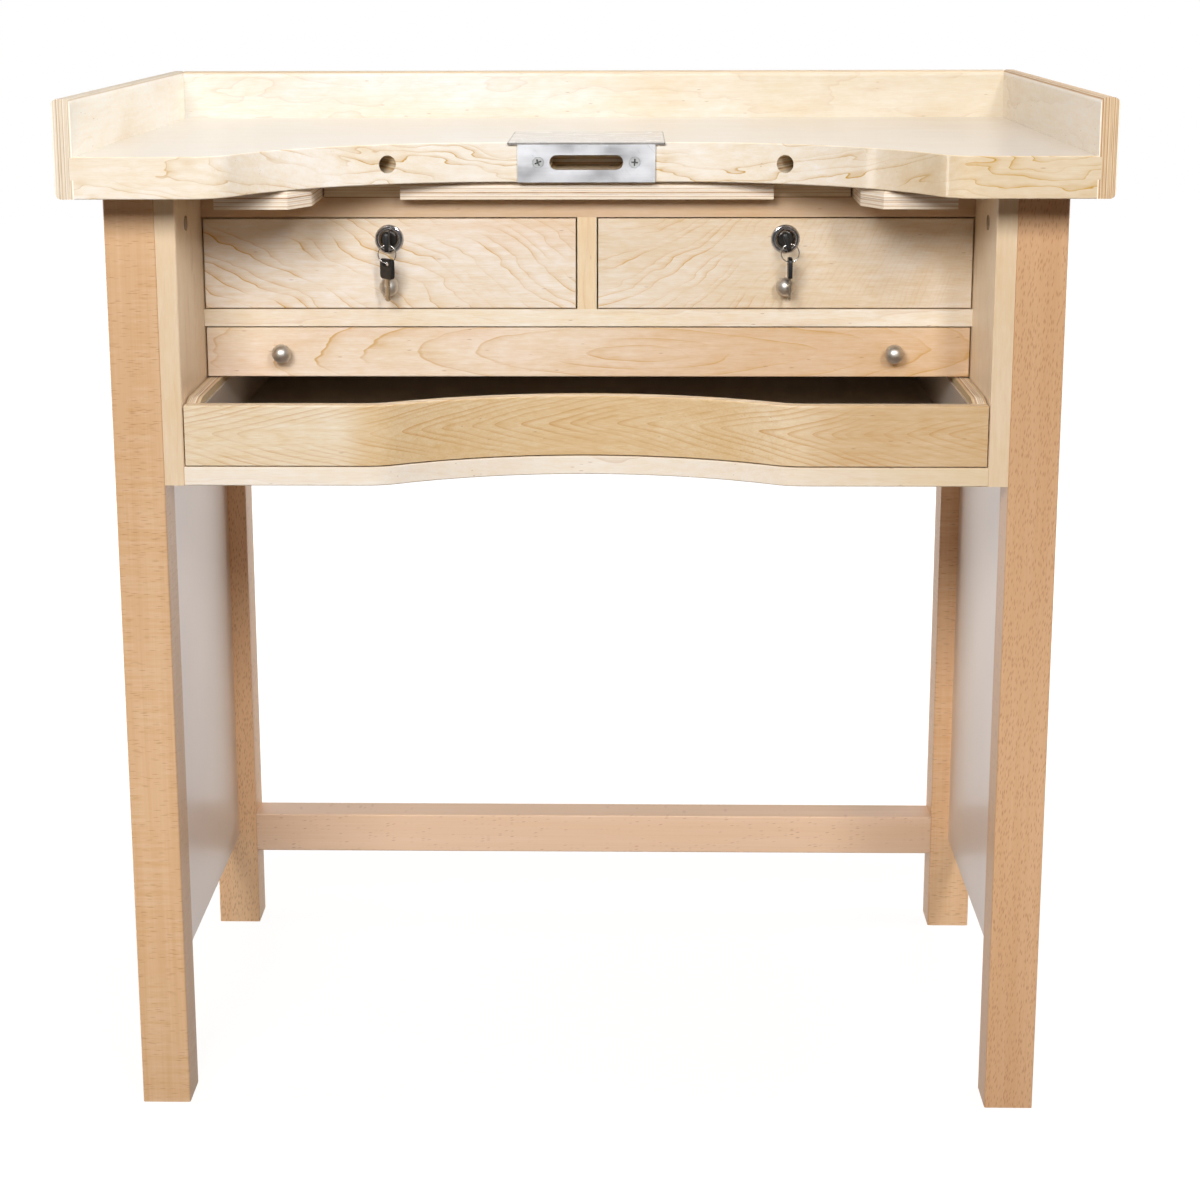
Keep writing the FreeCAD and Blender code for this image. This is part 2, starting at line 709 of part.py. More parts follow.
def camFittings():
    """Round cam let into each cabinet side, with the bolt that draws the top down."""
    disc = doc.addObject("Part::Cylinder", "CamDisc")
    bind(disc, "Radius", "camDiameter / 2")
    bind(disc, "Height", "camDepth")
    disc.Placement = Placement(Vector(0, 0, 0), Rotation(Vector(0, 1, 0), 90))
    place(disc, "-cabinetInside - camDepth + camProud", "frontCamY", "camZ")
    bolt = doc.addObject("Part::Cylinder", "CamBolt")
    bind(bolt, "Radius", "camBoltDiameter / 2")
    bind(bolt, "Height", "camDrop + camBoltInTop")
    place(bolt, "-boltX", "frontCamY", "camZ")
    fitting = doc.addObject("Part::Fuse", "CamFitting")
    fitting.Base = disc
    fitting.Tool = bolt
    group("cam_fittings", [fitting, mirrored("CamFittingTwin", fitting)])


def carcassBoard(label, z, thickness):
    """Board across the cabinet behind the drawer fronts' plane."""
    body = newBody(label, "0", "drawerPlane", z)
    sketch = newSketch(body, label + "Outline")
    rectangle(sketch, "-cabinetInside", "0", "2 * cabinetInside", "behindDrawers")
    pad(body, sketch, thickness)
    return body


def carcass():
    topPanel = carcassBoard("cabinet_top_panel", "topPanelBottom", "topPanelThickness")
    for name, sign in (("LeftCamPocket", "-"), ("RightCamPocket", "+")):
        corner = (sign + "drawerOffset - camPocketLength / 2 + camWidth / 2", "camPocketY", "0")
        cutBox(topPanel, name, corner, "camPocketLength", "camPocketDepth", "camPocketHeight")
    keep(topPanel)
    keep(carcassBoard("drawer_shelf", "shelfTop - shelfThickness", "shelfThickness"))
    keep(board("drawer_divider", "dividerThickness", "behindDrawers", "topPanelBottom - shelfTop",
               ("-dividerThickness / 2", "drawerPlane", "shelfTop")))
    keep(board("cabinet_back", "2 * cabinetInside", "backThickness", "sideHeight",
               ("-cabinetInside", "cabinetFront + insideDepth", "cabinetBottom")))


def cabinetBottomBoard():
    body = newBody("cabinet_bottom_board", "0", "cabinetFront", "cabinetBottom")
    sketch = newSketch(body, "BottomBoardOutline")
    first, last = bayFront(sketch, apronBay, "(2 * cabinetInside)")
    closeBehind(sketch, first, last, "insideDepth")
    pad(body, sketch, "bottomBoardThickness")
    breakEdges(body, "carcassEdge", alongBay(body, "top"))
    breakEdges(body, "carcassEdge", alongBay(body, "bottom"))
    keep(body)


def drawerRunners():
    """Rail on each cabinet side that the wide drawer's grooves run on."""
    corner = ("-cabinetInside", "boxFront + runnerSetback", "wideBottom + lowerGap + runnerLift + seatGap")
    runner = board("DrawerRunner", "runnerThickness", "runnerLength", "runnerHeight", corner)
    group("drawer_runners", [runner, mirrored("DrawerRunnerTwin", runner)])


def slideGuides():
    """Blocks between the sliding boards, from the cabinet's top panel up to the bench top."""
    spans = {
        "inner_guides": ("pullBoardWidth / 2 + slideGap", "armRestOffset - slideGap"),
        "outer_guides": ("armRestOffset + armRestWidth + slideGap", "cabinetInside"),
    }
    for label, (near, far) in spans.items():
        guide = board(label + "Left", "%s - (%s)" % (far, near), "guideLength", "slideWayHeight",
                      ("-(%s)" % far, "drawerPlane", "slideWayBottom"))
        group(label, [guide, mirrored(label + "Right", guide)])


# ---- bench top -----------------------------------------------------------------------------------

def toolHoles(body):
    """Two round holes bored square into the bay's hollow arcs, level with the middle of the top."""
    lean = "asin((toolHoleSpacing - bayFlat) / 2 / bayRadius)"
    start = "(bayRadius - toolHoleLead)"
    sketch = newSketch(body, "ToolHole", "XZ_Plane")
    circle(sketch, "0", "0", "toolHoleDiameter")
    sketch.AttachmentOffset = Placement(Vector(0, 0, 0), Rotation(Vector(0, -1, 0), 1))
    bind(sketch, "AttachmentOffset.Rotation.Angle", lean)
    bind(sketch, "AttachmentOffset.Base.x", "bayFlat / 2 + %s * sin(%s)" % (start, lean))
    bind(sketch, "AttachmentOffset.Base.y", "topThickness / 2")
    bind(sketch, "AttachmentOffset.Base.z", "bayRadius - bayDepth - %s * cos(%s)" % (start, lean))
    hole = pocket(body, sketch, "toolHoleDepth + toolHoleLead")
    mirror = body.newObject("PartDesign::Mirrored", "ToolHoleTwin")
    mirror.Originals = [hole]
    middle = [feature for feature in body.Origin.OriginFeatures if feature.Role == "YZ_Plane"][0]
    mirror.MirrorPlane = (middle, [""])
    body.Tip = mirror


def benchTop():
    body = newBody("bench_top", "0", "benchFront", "underTop")
    sketch = newSketch(body, "TopOutline")
    first, last = bayFront(sketch, topBay, "topWidth")
    closeBehind(sketch, first, last, "benchDepth - boardThickness")
    pad(body, sketch, "topThickness")
    for level in ("top", "bottom"):
        breakEdges(body, "topEdge", alongBay(body, level))
    for end, left in (("Left", "-topWidth / 2"), ("Right", "topWidth / 2 - boardGroove")):
        cutBox(body, end + "TongueBelow", (left, "-overcut", "0"),
               "boardGroove", "benchDepth", "tongueBottom")
        cutBox(body, end + "TongueAbove", (left, "-overcut", "tongueBottom + topTongue"),
               "boardGroove", "benchDepth", "tongueDrop")
    cutBox(body, "CoverPlateRecess", ("-coverPlateWidth / 2", "bayDepth - pinPlateThickness",
                                      "topThickness - coverPlateThickness"),
           "coverPlateWidth", "coverPlateDepth", "coverPlateThickness")
    mortise = newSketch(body, "PinMortise", "XZ_Plane", "-bayDepth")
    stadium(mortise, "pinSlotLength", "pinSlotHeight", "topThickness - pinSlotDrop")
    pocket(body, mortise, "pinSlotDepth")
    pilots = newSketch(body, "PlateScrewPilots", "XZ_Plane", "-bayDepth")
    for sign in "-+":
        circle(pilots, sign + "plateScrewSpacing / 2", "topThickness - pinSlotDrop", "plateScrewShank")
    pocket(body, pilots, "plateScrewLength - pinPlateThickness")
    small = newSketch(body, "CoverScrewPilots", "XY_Plane", "topThickness")
    for x, y in coverScrewPlaces():
        circle(small, x, "bayDepth - pinPlateThickness + " + y, "coverScrewShank")
    pocket(body, small, "coverScrewLength")
    bolts = newSketch(body, "BoltHoles", "XY_Plane", "0")
    rear = newSketch(body, "TopDowelHoles", "XY_Plane", "0")
    for sign in "+-":
        circle(bolts, sign + "boltX", "legSetback + camInset", "camBoltDiameter")
        circle(rear, sign + "boltX", "legSetback + cabinetDepth - camInset", "dowelDiameter")
    pocket(body, bolts, "camBoltInTop", backwards=True)
    pocket(body, rear, "dowelInTop", backwards=True)
    toolHoles(body)
    keep(body)


def coverScrewPlaces():
    """Middles of the four small screws, from the middle of the cover plate's front edge."""
    return [(sign + "(coverPlateWidth / 2 - coverScrewInset)", y)
            for sign in "-+" for y in ("coverScrewFront", "coverPlateDepth - coverScrewBack")]


def standingBoards():
    boardHeight = "(topThickness + boardRise)"
    side = board("left_side_board", "boardThickness", "benchDepth", boardHeight,
                 ("-benchWidth / 2", "benchFront", "underTop"), "boardRounding",
                 ("top left", "top right", "bottom left"))
    cutBox(side, "TopGroove", ("boardThickness - boardGroove", "-overcut", "tongueBottom"),
           "boardGroove + overcut", "benchDepth - boardThickness + overcut", "topTongue")
    keep(side)
    keep(mirrored("right_side_board", side))
    width = "(benchWidth - 2 * boardThickness)"
    keep(board("back_board", width, "boardThickness", boardHeight,
               ("-%s / 2" % width, "benchDepth / 2 - boardThickness", "underTop"), "boardRounding",
               ("top front", "top back", "bottom back")))


# ---- bench-pin fitting ---------------------------------------------------------------------------

def countersink(body, name, plane, lift, places, shank, head):
    """Countersunk clearance holes through the whole body."""
    sketch = newSketch(body, name, plane, lift)
    for x, y in places:
        circle(sketch, x, y, shank)
    doc.recompute()
    before = body.Shape.Volume
    hole = body.newObject("PartDesign::Hole", name + "Hole")
    hole.Profile = sketch
    doc.recompute()
    hole.ThreadType = "None"
    hole.DepthType = "ThroughAll"
    hole.HoleCutType = "Countersink"
    hole.HoleCutCustomValues = True
    bind(hole, "HoleCutCountersinkAngle", "countersinkAngle")
    bind(hole, "Diameter", shank)
    bind(hole, "HoleCutDiameter", head)
    doc.recompute()
    if not body.Shape.Volume < before:
        raise RuntimeError("%s cuts nothing" % name)


def pinPlates():
    face = "topThickness - coverPlateThickness"
    body = newBody("pin_front_plate", "0", "benchFront + bayDepth", "underTop")
    sketch = newSketch(body, "FrontPlateOutline", "XZ_Plane")
    rectangle(sketch, "-pinPlateWidth / 2", "0", "pinPlateWidth", face)
    pad(body, sketch, "pinPlateThickness")
    slot = newSketch(body, "PinSlot", "XZ_Plane")
    stadium(slot, "pinSlotLength", "pinSlotHeight", "topThickness - pinSlotDrop")
    pocket(body, slot, "pinPlateThickness", backwards=True)
    places = [(sign + "plateScrewSpacing / 2", "topThickness - pinSlotDrop") for sign in "-+"]
    countersink(body, "PlateScrewHoles", "XZ_Plane", "pinPlateThickness", places,
                "plateScrewShank", "plateScrewHead")
    keep(body)
    cover = board("pin_top_plate", "coverPlateWidth", "coverPlateDepth", "coverPlateThickness",
                  ("-coverPlateWidth / 2", "benchFront + bayDepth - pinPlateThickness",
                   "worktopHeight - coverPlateThickness"))
    places = [("coverPlateWidth / 2 " + x, y) for x, y in coverScrewPlaces()]
    countersink(cover, "CoverScrewHoles", "XY_Plane", "coverPlateThickness", places,
                "coverScrewShank", "coverScrewHead")
    keep(cover)


def screw(label, plane, x, y, z, head, shank, length):
    """Countersunk screw; its flat head faces the front, or faces up."""
    body = newBody(label, x, y, z)
    sketch = newSketch(body, label + "Profile", plane)
    sign = "-" if plane == "XZ_Plane" else ""
    taper = "%s(%s - %s) / 2" % (sign, head, shank)
    end = sign + length
    points = [("0", "0"), (head + " / 2", "0"), (shank + " / 2", taper), (shank + " / 2", end), ("0", end)]
    outline(sketch, points)
    revolve(body, sketch)
    return body


def plateScrews():
    members = []
    for number, sign in enumerate("-+", start=1):
        members.append(screw("PlateScrew%d" % number, "XY_Plane", sign + "plateScrewSpacing / 2",
                             "benchFront + bayDepth - pinPlateThickness", "worktopHeight - pinSlotDrop",
                             "plateScrewHead", "plateScrewShank", "plateScrewLength"))
    group("front_plate_screws", members)
    members = []
    for number, (x, y) in enumerate(coverScrewPlaces(), start=1):
        members.append(screw("CoverScrew%d" % number, "XZ_Plane", x,
                             "benchFront + bayDepth - pinPlateThickness + " + y, "worktopHeight",
                             "coverScrewHead", "coverScrewShank", "coverScrewLength"))
    group("top_plate_screws", members)


# ---- sliding boards ------------------------------------------------------------------------------

def roundTopEdges(body, without):
    """Rounds every edge of the upper face apart from the one named."""
    doc.recompute()
    box = body.Tip.Shape.BoundBox
    upper = lambda edge: onSides(edge, box, "top") and not onSides(edge, box, without)
    roundEdges(body, "slideBoardRounding", upper)


def slidingBoards():
    height = "slideWayBottom + seatGap"
    arm = newBody("left_arm_rest", "-(armRestOffset + armRestWidth)", "benchFront + armRestFront", height)
    sketch = newSketch(arm, "ArmRestOutline")
    outline(sketch, [("0", "0"), ("armRestWidth - armCornerAcross", "0"), ("armRestWidth", "armCornerAlong"),
                     ("armRestWidth", "armRestLength"), ("0", "armRestLength")])
    pad(arm, sketch, "slideBoardThickness")
    roundTopEdges(arm, "back")
    keep(arm)
    keep(mirrored("right_arm_rest", arm))
    pull = board("pull_out_board", "pullBoardWidth", "pullBoardLength", "slideBoardThickness",
                 ("-pullBoardWidth / 2", "benchFront + pullBoardFront", height))
    roundTopEdges(pull, "back")
    keep(pull)


# ---- drawers -------------------------------------------------------------------------------------

def drawerFront(label, x, z, width, height, boxLift, knobPlaces, locked):
    """Drawer front with holes for knobs and lock and a groove for the drawer's floor."""
    body = newBody(label, x, "drawerPlane", z)
    sketch = newSketch(body, label + "Outline")
    rectangle(sketch, "-%s / 2" % width, "0", width, "frontThickness")
    pad(body, sketch, height)
    breakEdges(body, "frontEdge", ("front left", "front right", "front top", "front bottom"))
    studs = newSketch(body, label + "StudHoles", "XZ_Plane")
    for across, up in knobPlaces:
        circle(studs, across, up, "knobStud")
    pocket(body, studs, "knobStudLength")
    if locked:
        barrel = newSketch(body, label + "LockHole", "XZ_Plane")
        circle(barrel, "0", "lockHeight", "lockBarrel")
        pocket(body, barrel, "frontThickness")
    grooveWidth = "(%s - 2 * boxSide + 2 * floorGroove)" % width
    corner = ("-%s / 2" % grooveWidth, "frontThickness - floorGroove", boxLift + " + floorLift")
    cutBox(body, label + "FloorGroove", corner, grooveWidth, "floorGroove", "floorThickness")
    return keep(body)


def drawerBox(name, x, z, width, sideTall, runnerGrooves=False):
    """Two sides, a back and a floor behind a drawer front; x is the middle, z the sides' lower edge."""
    side = newBody(name + "_side", "%s - %s / 2" % (x, width), "boxFront", z)
    sketch = newSketch(side, name + "SideOutline")
    rectangle(sketch, "0", "0", "boxSide", "boxLength")
    pad(side, sketch, sideTall)
    cutBox(side, name + "SideGroove", ("boxSide - floorGroove", "0", "floorLift"), "floorGroove", "boxLength",
           "floorThickness")
    if runnerGrooves:
        cutBox(side, name + "RunnerGroove", ("0", "0", "runnerLift"), "runnerGroove", "boxLength",
               "runnerHeight + 2 * seatGap")
    group(name + "_sides", [side, mirrored(name + "_side_twin", side, x)])
    inside = "(%s - 2 * boxSide)" % width
    keep(board(name + "_back", inside, "boxSide", sideTall + " - floorLift - floorThickness",
               ("%s - %s / 2" % (x, inside), "boxFront + boxLength - boxSide",
                z + " + floorLift + floorThickness")))
    keep(board(name + "_bottom", inside + " + 2 * floorGroove", "boxLength + floorGroove", "floorThickness",
               ("%s - %s / 2 - floorGroove" % (x, inside), "boxFront - floorGroove", z + " + floorLift")))


def knob(label, x, z):
    """Ball on a neck, with the stud that goes into the drawer front."""
    body = newBody(label, x, "drawerPlane", z)
    stem = newSketch(body, label + "Stem")
    outline(stem, [("0", "-knobCentre"), ("knobNeck / 2", "-knobCentre"), ("knobNeck / 2", "0"),
                   ("knobStud / 2", "0"), ("knobStud / 2", "knobStudLength"), ("0", "knobStudLength")])
    revolve(body, stem)
    ball = body.newObject("PartDesign::AdditiveSphere", label + "Ball")
    plane = [feature for feature in body.Origin.OriginFeatures if feature.Role == "XY_Plane"][0]
    ball.AttachmentSupport = [(plane, "")]
    ball.MapMode = "FlatFace"
    bind(ball, "Radius", "knobDiameter / 2")
    bind(ball, "AttachmentOffset.Base.y", "-knobCentre")
    return body


# the crown of a lock's rim: shares of its width in from the edge, and of its fall below the crest
rimCrown = ((1, 0.2), (0.7, 0), (0.35, 0.2), (0.1, 0.6), (0, 1))


def lockHousing(label, x, z):
    """Stepped round escutcheon with its barrel, and the ring nut behind the drawer front."""
    barrel = "lockBarrel / 2 - barrelGap"
    bore = "plugDiameter / 2 + plugClearance"
    innerRing = "lockFlange / 2 - lockRimWidth - lockGrooveWidth"
    body = newBody(label + "Body", x, "drawerPlane", z)
    sketch = newSketch(body, label + "Profile")
    crest = "lockRimDrop - lockFace"
    points = [(bore, "lockMouth - lockFace"), (innerRing + " - lockEase - lockLip", "-lockFace"),
              (innerRing + " - lockEase", "-lockFace"), (innerRing, "lockEase - lockFace"),
              (innerRing, "lockGrooveDepth - lockFace"),
              ("lockFlange / 2 - lockRimWidth", "lockGrooveDepth - lockFace")]
    points += [("lockFlange / 2 - %g * lockRimWidth" % inward, crest + " + %g * lockRimFall" % down)
               for inward, down in rimCrown]
    points += [("lockFlange / 2", "0"), (barrel, "0"),
               (barrel, "lockBarrelLength"), (bore, "lockBarrelLength")]
    outline(sketch, points)
    revolve(body, sketch)
    nut = newBody(label + "Nut", x, "drawerPlane", z)
    ring = newSketch(nut, label + "NutProfile")
    rectangle(ring, barrel, "frontThickness", "(lockNut - lockBarrel) / 2 + barrelGap", "lockNutThickness")
    revolve(nut, ring)
    group(label, [body, nut])


def lockPlug(label, x, z, turn):
    """Keyed plug with the flat cam on its tail; the cam points to +X when it is unlocked."""
    body = newBody(label, x, "drawerPlane", z)
    sketch = newSketch(body, label + "Round")
    tail = "lockBarrelLength + seatGap"
    end = tail + " + camThickness + plugTail"
    outline(sketch, [("0", "-plugFace"), ("plugDiameter / 2 - plugEase", "-plugFace"),
                     ("plugDiameter / 2", "plugEase - plugFace"), ("plugDiameter / 2", tail),
                     ("plugTailDiameter / 2", tail), ("plugTailDiameter / 2", end), ("0", end)])
    revolve(body, sketch)
    cam = newSketch(body, label + "Cam", "XZ_Plane", "-(%s)" % tail)
    half = "camWidth / 2"
    outline(cam, [("-" + half, "camCorner - " + half), ("camCorner - " + half, "-" + half),
                  ("camLength - camCorner", "-" + half), ("camLength", "camCorner - " + half),
                  ("camLength", half + " - camCorner"), ("camLength - camCorner", half),
                  ("camCorner - " + half, half), ("-" + half, half + " - camCorner")])
    pad(body, cam, "camThickness", backwards=True)
    keyway = newSketch(body, label + "Keyway", "XZ_Plane", "plugFace")
    rectangle(keyway, "-keyBladeThickness / 2 - keywayGap", "-keyBladeWidth / 2 - keywayGap",
              "keyBladeThickness + 2 * keywayGap", "keyBladeWidth + 2 * keywayGap")
    pocket(body, keyway, "keyInLock + keywayEnd")
    body.Placement = Placement(Vector(0, 0, 0), Rotation(Vector(0, -1, 0), turn))
    place(body, x, "drawerPlane", z)
    keep(body)


def key(label, x, y, z, rotation):
    """Flat key; its own origin is the middle of the slot in the bow and its blade points to +Y."""
    body = newBody(label, x, y, z)
    bow = newSketch(body, label + "Bow", "YZ_Plane")
    rectangle(bow, "-slotMiddle", "-keyBow / 2", "keyBow", "keyBow")
    pad(body, bow, "keyBowThickness", midplane=True)
    roundEdges(body, "keyBowCorner", ("front top", "front bottom", "back top", "back bottom"))
    slot = newSketch(body, label + "Slot", "YZ_Plane")
    rectangle(slot, "-keySlotWidth / 2", "-keySlotLength / 2", "keySlotWidth", "keySlotLength")
    pocket(body, slot, "keyBowThickness", midplane=True)
    blade = newSketch(body, label + "Blade", "YZ_Plane")
    start = "keyBow - slotMiddle - keyBowCorner / 2"
    taper = "keyReach - keyTipLength"
    half = "keyBladeWidth / 2"
    outline(blade, [(start, "-" + half), (taper, "-" + half), ("keyReach", "keyTipInset - " + half),
                    ("keyReach", half + " - keyTipInset"), (taper, half), (start, half)])
    pad(body, blade, "keyBladeThickness", midplane=True)
    body.Placement = Placement(Vector(0, 0, 0), rotation)
    place(body, x, y, z)
    keep(body)


def lockAndKeys(side, x, z, turn, spareYaw):
    """Lock, the key in it, and the spare key that hangs on a ring from that key's bow."""
    lockHousing(side + "_lock_housing", x, z)
    lockPlug(side + "_lock_plug", x, z, turn)
    key(side + "_key", x, "ringPlane", z, Rotation(Vector(0, -1, 0), turn))
    # the ring hangs from the highest edge of the slot's lower side
    half = "keyBowThickness / 2" if turn else "0"
    ringX = "%s + keySlotLength / 2 * sin(%d) + %s * cos(%d)" % (x, turn, half, turn)
    slotFloor = "%s - keySlotLength / 2 * cos(%d) + %s * sin(%d)" % (z, turn, half, turn)
    ringTop = slotFloor + " + ringWire / 2 + ringGap"
    ring = doc.addObject("Part::Torus", side + "_key_ring")
    ring.Label = side + "_key_ring"
    bind(ring, "Radius1", "ringRadius")
    bind(ring, "Radius2", "ringWire / 2")
    ring.Placement = Placement(Vector(0, 0, 0), Rotation(Vector(1, 0, 0), 90))
    place(ring, ringX, "ringPlane", ringTop + " - ringRadius")
    keep(ring)
    hanging = Rotation(Vector(0, 0, 1), spareYaw) * Rotation(Vector(1, 0, 0), -90)
    spareZ = ringTop + " - 2 * ringRadius - keySlotWidth / 2 + ringWire / 2 + ringGap"
    key(side + "_spare_key", ringX, "ringPlane", spareZ, hanging)


def drawers():
    boxLift = "(seatGap - lowerGap)"
    for side, sign, turn, spareYaw in (("left", "-", 0, leftKeyYaw), ("right", "", rightKeyTurn, 0)):
        x = sign + "drawerOffset"
        drawerFront(side + "_drawer_front", x, "drawerBottom", "drawerWidth", "drawerFrontHeight", boxLift,
                    [("0", "drawerKnobHeight")], True)
        drawerBox(side + "_drawer", x, "shelfTop + seatGap", "drawerWidth", "boxSideHeight")
        keep(knob(side + "_drawer_knob", x, "drawerBottom + drawerKnobHeight"))
        lockAndKeys(side, x, "drawerBottom + lockHeight", turn, spareYaw)
    knobPlaces = [(sign + "(cabinetInside - wideKnobInset)", "wideFrontHeight / 2") for sign in "-+"]
    drawerFront("wide_drawer_front", "0", "wideBottom", "fullWidth", "wideFrontHeight", "lowerGap",
                knobPlaces, False)
    drawerBox("wide_drawer", "0", "wideBottom + lowerGap", "fullWidth", "wideSideHeight", True)
    group("wide_drawer_knobs", [knob("WideDrawerKnob%d" % number, across, "wideBottom + " + up)
                                for number, (across, up) in enumerate(knobPlaces, start=1)])


# ---- filings tray --------------------------------------------------------------------------------

def trayFront():
    body = newBody("tray_front", "0", "cabinetFront", "trayFrontBottom")
    sketch = newSketch(body, "TrayFrontOutline")
    outer = bayFront(sketch, apronBay, "fullWidth")
    inner = bayFront(sketch, apronBay, "fullWidth", ("trayFrontThickness",))
    closeEnds(sketch, outer, inner)
    pad(body, sketch, "trayFrontHeight")
    breakEdges(body, "carcassEdge", alongBay(body, "top"))
    keep(body)


def traySides():
    """Side boards whose upper edge slopes down to meet the tray's front."""
    body = newBody("TraySide", "-fullWidth / 2", "trayBoxFront", "trayRest + seatGap")
    sketch = newSketch(body, "TraySideOutline", "YZ_Plane")
    outline(sketch, [("0", "0"), ("trayLength", "0"), ("trayLength", "traySideHeight"),
                     ("traySlope", "traySideHeight"), ("0", "traySideHeight - traySideRise")])
    pad(body, sketch, "traySideThickness")
    cutBox(body, "TrayFloorGroove", ("traySideThickness - floorGroove", "0", "trayFloorLift"),
           "floorGroove", "trayLength", "trayFloorThickness")
    group("tray_sides", [body, mirrored("TraySideTwin", body)])


def trayFloor():
    body = newBody("tray_bottom", "0", "cabinetFront", "trayFloorBottom")
    sketch = newSketch(body, "TrayFloorOutline")
    first, last = bayFront(sketch, apronBay, "(trayInside + 2 * floorGroove)", ("trayFrontThickness",))
    closeBehind(sketch, first, last, "trayFrontThickness + trayLength")
    pad(body, sketch, "trayFloorThickness")
    keep(body)


def trayLiner():
    """Thin metal pan that follows the tray's curved front."""
    body = newBody("tray_liner", "0", "cabinetFront", "linerBottom")
    back = "trayFrontThickness + trayLength - boxSide - linerGap"
    skin = ("trayFrontThickness", "linerGap")
    sketch = newSketch(body, "LinerOutline")
    first, last = bayFront(sketch, apronBay, "(trayInside - 2 * linerGap)", skin)
    closeBehind(sketch, first, last, back)
    pad(body, sketch, "linerHeight")
    hollow = newSketch(body, "LinerHollow", "XY_Plane", "linerThickness")
    first, last = bayFront(hollow, apronBay, "(trayInside - 2 * linerGap - 2 * linerThickness)",
                           skin + ("linerThickness",))
    closeBehind(hollow, first, last, back + " - linerThickness")
    pocket(body, hollow, "linerHeight", backwards=True)
    keep(body)


def tray():
    trayFront()
    traySides()
    trayFloor()
    keep(board("tray_back", "trayInside", "boxSide", "trayBackHeight",
               ("-trayInside / 2", "trayBoxFront + trayLength - boxSide", "linerBottom")))
    trayLiner()


# ---- build ---------------------------------------------------------------------------------------

legs()
rearStretcher()
sidePanels()
frameDowels()
cabinetSides()
camFittings()
carcass()
cabinetBottomBoard()
drawerRunners()
slideGuides()
benchTop()
standingBoards()
pinPlates()
plateScrews()
slidingBoards()
drawers()
tray()

doc.recompute()
for thing in doc.Objects:
    if "Invalid" in thing.State or "Error" in thing.State:
        raise RuntimeError("%s is %s" % (thing.Label, thing.State))
for thing in subparts:
    if thing.Shape.isNull() or not thing.Shape.isValid() or not thing.Shape.Solids:
        raise RuntimeError("%s has no valid shape" % thing.Label)

os.makedirs("parts", exist_ok=True)
for thing in subparts:
    thing.Shape.exportStep("parts/%s.step" % thing.Label)
print(len(subparts), "sub-parts,", sum(len(thing.Shape.Solids) for thing in subparts), "solids")
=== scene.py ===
import math

import bmesh
import bpy
from mathutils import Matrix, Vector


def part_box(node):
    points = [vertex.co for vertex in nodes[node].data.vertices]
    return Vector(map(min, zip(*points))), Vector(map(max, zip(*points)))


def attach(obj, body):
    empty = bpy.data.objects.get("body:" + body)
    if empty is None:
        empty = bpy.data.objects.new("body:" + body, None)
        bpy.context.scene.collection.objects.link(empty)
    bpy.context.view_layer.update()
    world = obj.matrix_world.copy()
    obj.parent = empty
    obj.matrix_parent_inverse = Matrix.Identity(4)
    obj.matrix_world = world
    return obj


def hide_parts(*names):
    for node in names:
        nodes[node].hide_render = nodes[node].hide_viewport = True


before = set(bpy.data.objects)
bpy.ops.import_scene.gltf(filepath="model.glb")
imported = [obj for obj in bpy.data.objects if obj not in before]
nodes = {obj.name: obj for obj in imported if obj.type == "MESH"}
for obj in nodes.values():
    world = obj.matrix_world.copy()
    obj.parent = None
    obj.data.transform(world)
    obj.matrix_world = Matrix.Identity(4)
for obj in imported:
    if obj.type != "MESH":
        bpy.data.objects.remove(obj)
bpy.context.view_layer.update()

# Jeweller's bench: finishes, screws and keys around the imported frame. Metres, +Z up.
# Nothing here is drawn by chance: every noise keeps its own fixed seed.
scene = bpy.context.scene
print("frame loaded:", len(nodes), "pieces")


# camera
view = {
    "place": (0.0420548, -2.6211721, 1.175297),
    "turn": -0.0224,        # turn, tilt and roll in radians
    "tilt": -0.2271,
    "roll": -0.0029,
    "lens": 73.23,          # lens and sensor in millimetres
    "sensor": 36,
    "shift": (0.0219, -0.0592),
    "far": 100,
}


def addCamera():
    turn, tilt, roll = view["turn"], view["tilt"], view["roll"]
    level = Vector((math.cos(turn), -math.sin(turn), 0))
    ahead = Vector((math.sin(turn), math.cos(turn), 0)) * math.cos(tilt) + Vector((0, 0, math.sin(tilt)))
    rise = level.cross(ahead)
    right = level * math.cos(roll) + rise * math.sin(roll)
    up = rise * math.cos(roll) - level * math.sin(roll)
    camera = bpy.data.objects.new("camera", bpy.data.cameras.new("camera"))
    facing = Matrix((right, up, -ahead)).transposed().to_4x4()
    camera.matrix_world = Matrix.Translation(view["place"]) @ facing
    camera.data.sensor_width = view["sensor"]
    camera.data.lens = view["lens"]
    camera.data.shift_x, camera.data.shift_y = view["shift"]
    camera.data.clip_end = view["far"]
    scene.collection.objects.link(camera)
    scene.camera = camera


addCamera()
scene.view_settings.view_transform = "Standard"
print("camera placed")


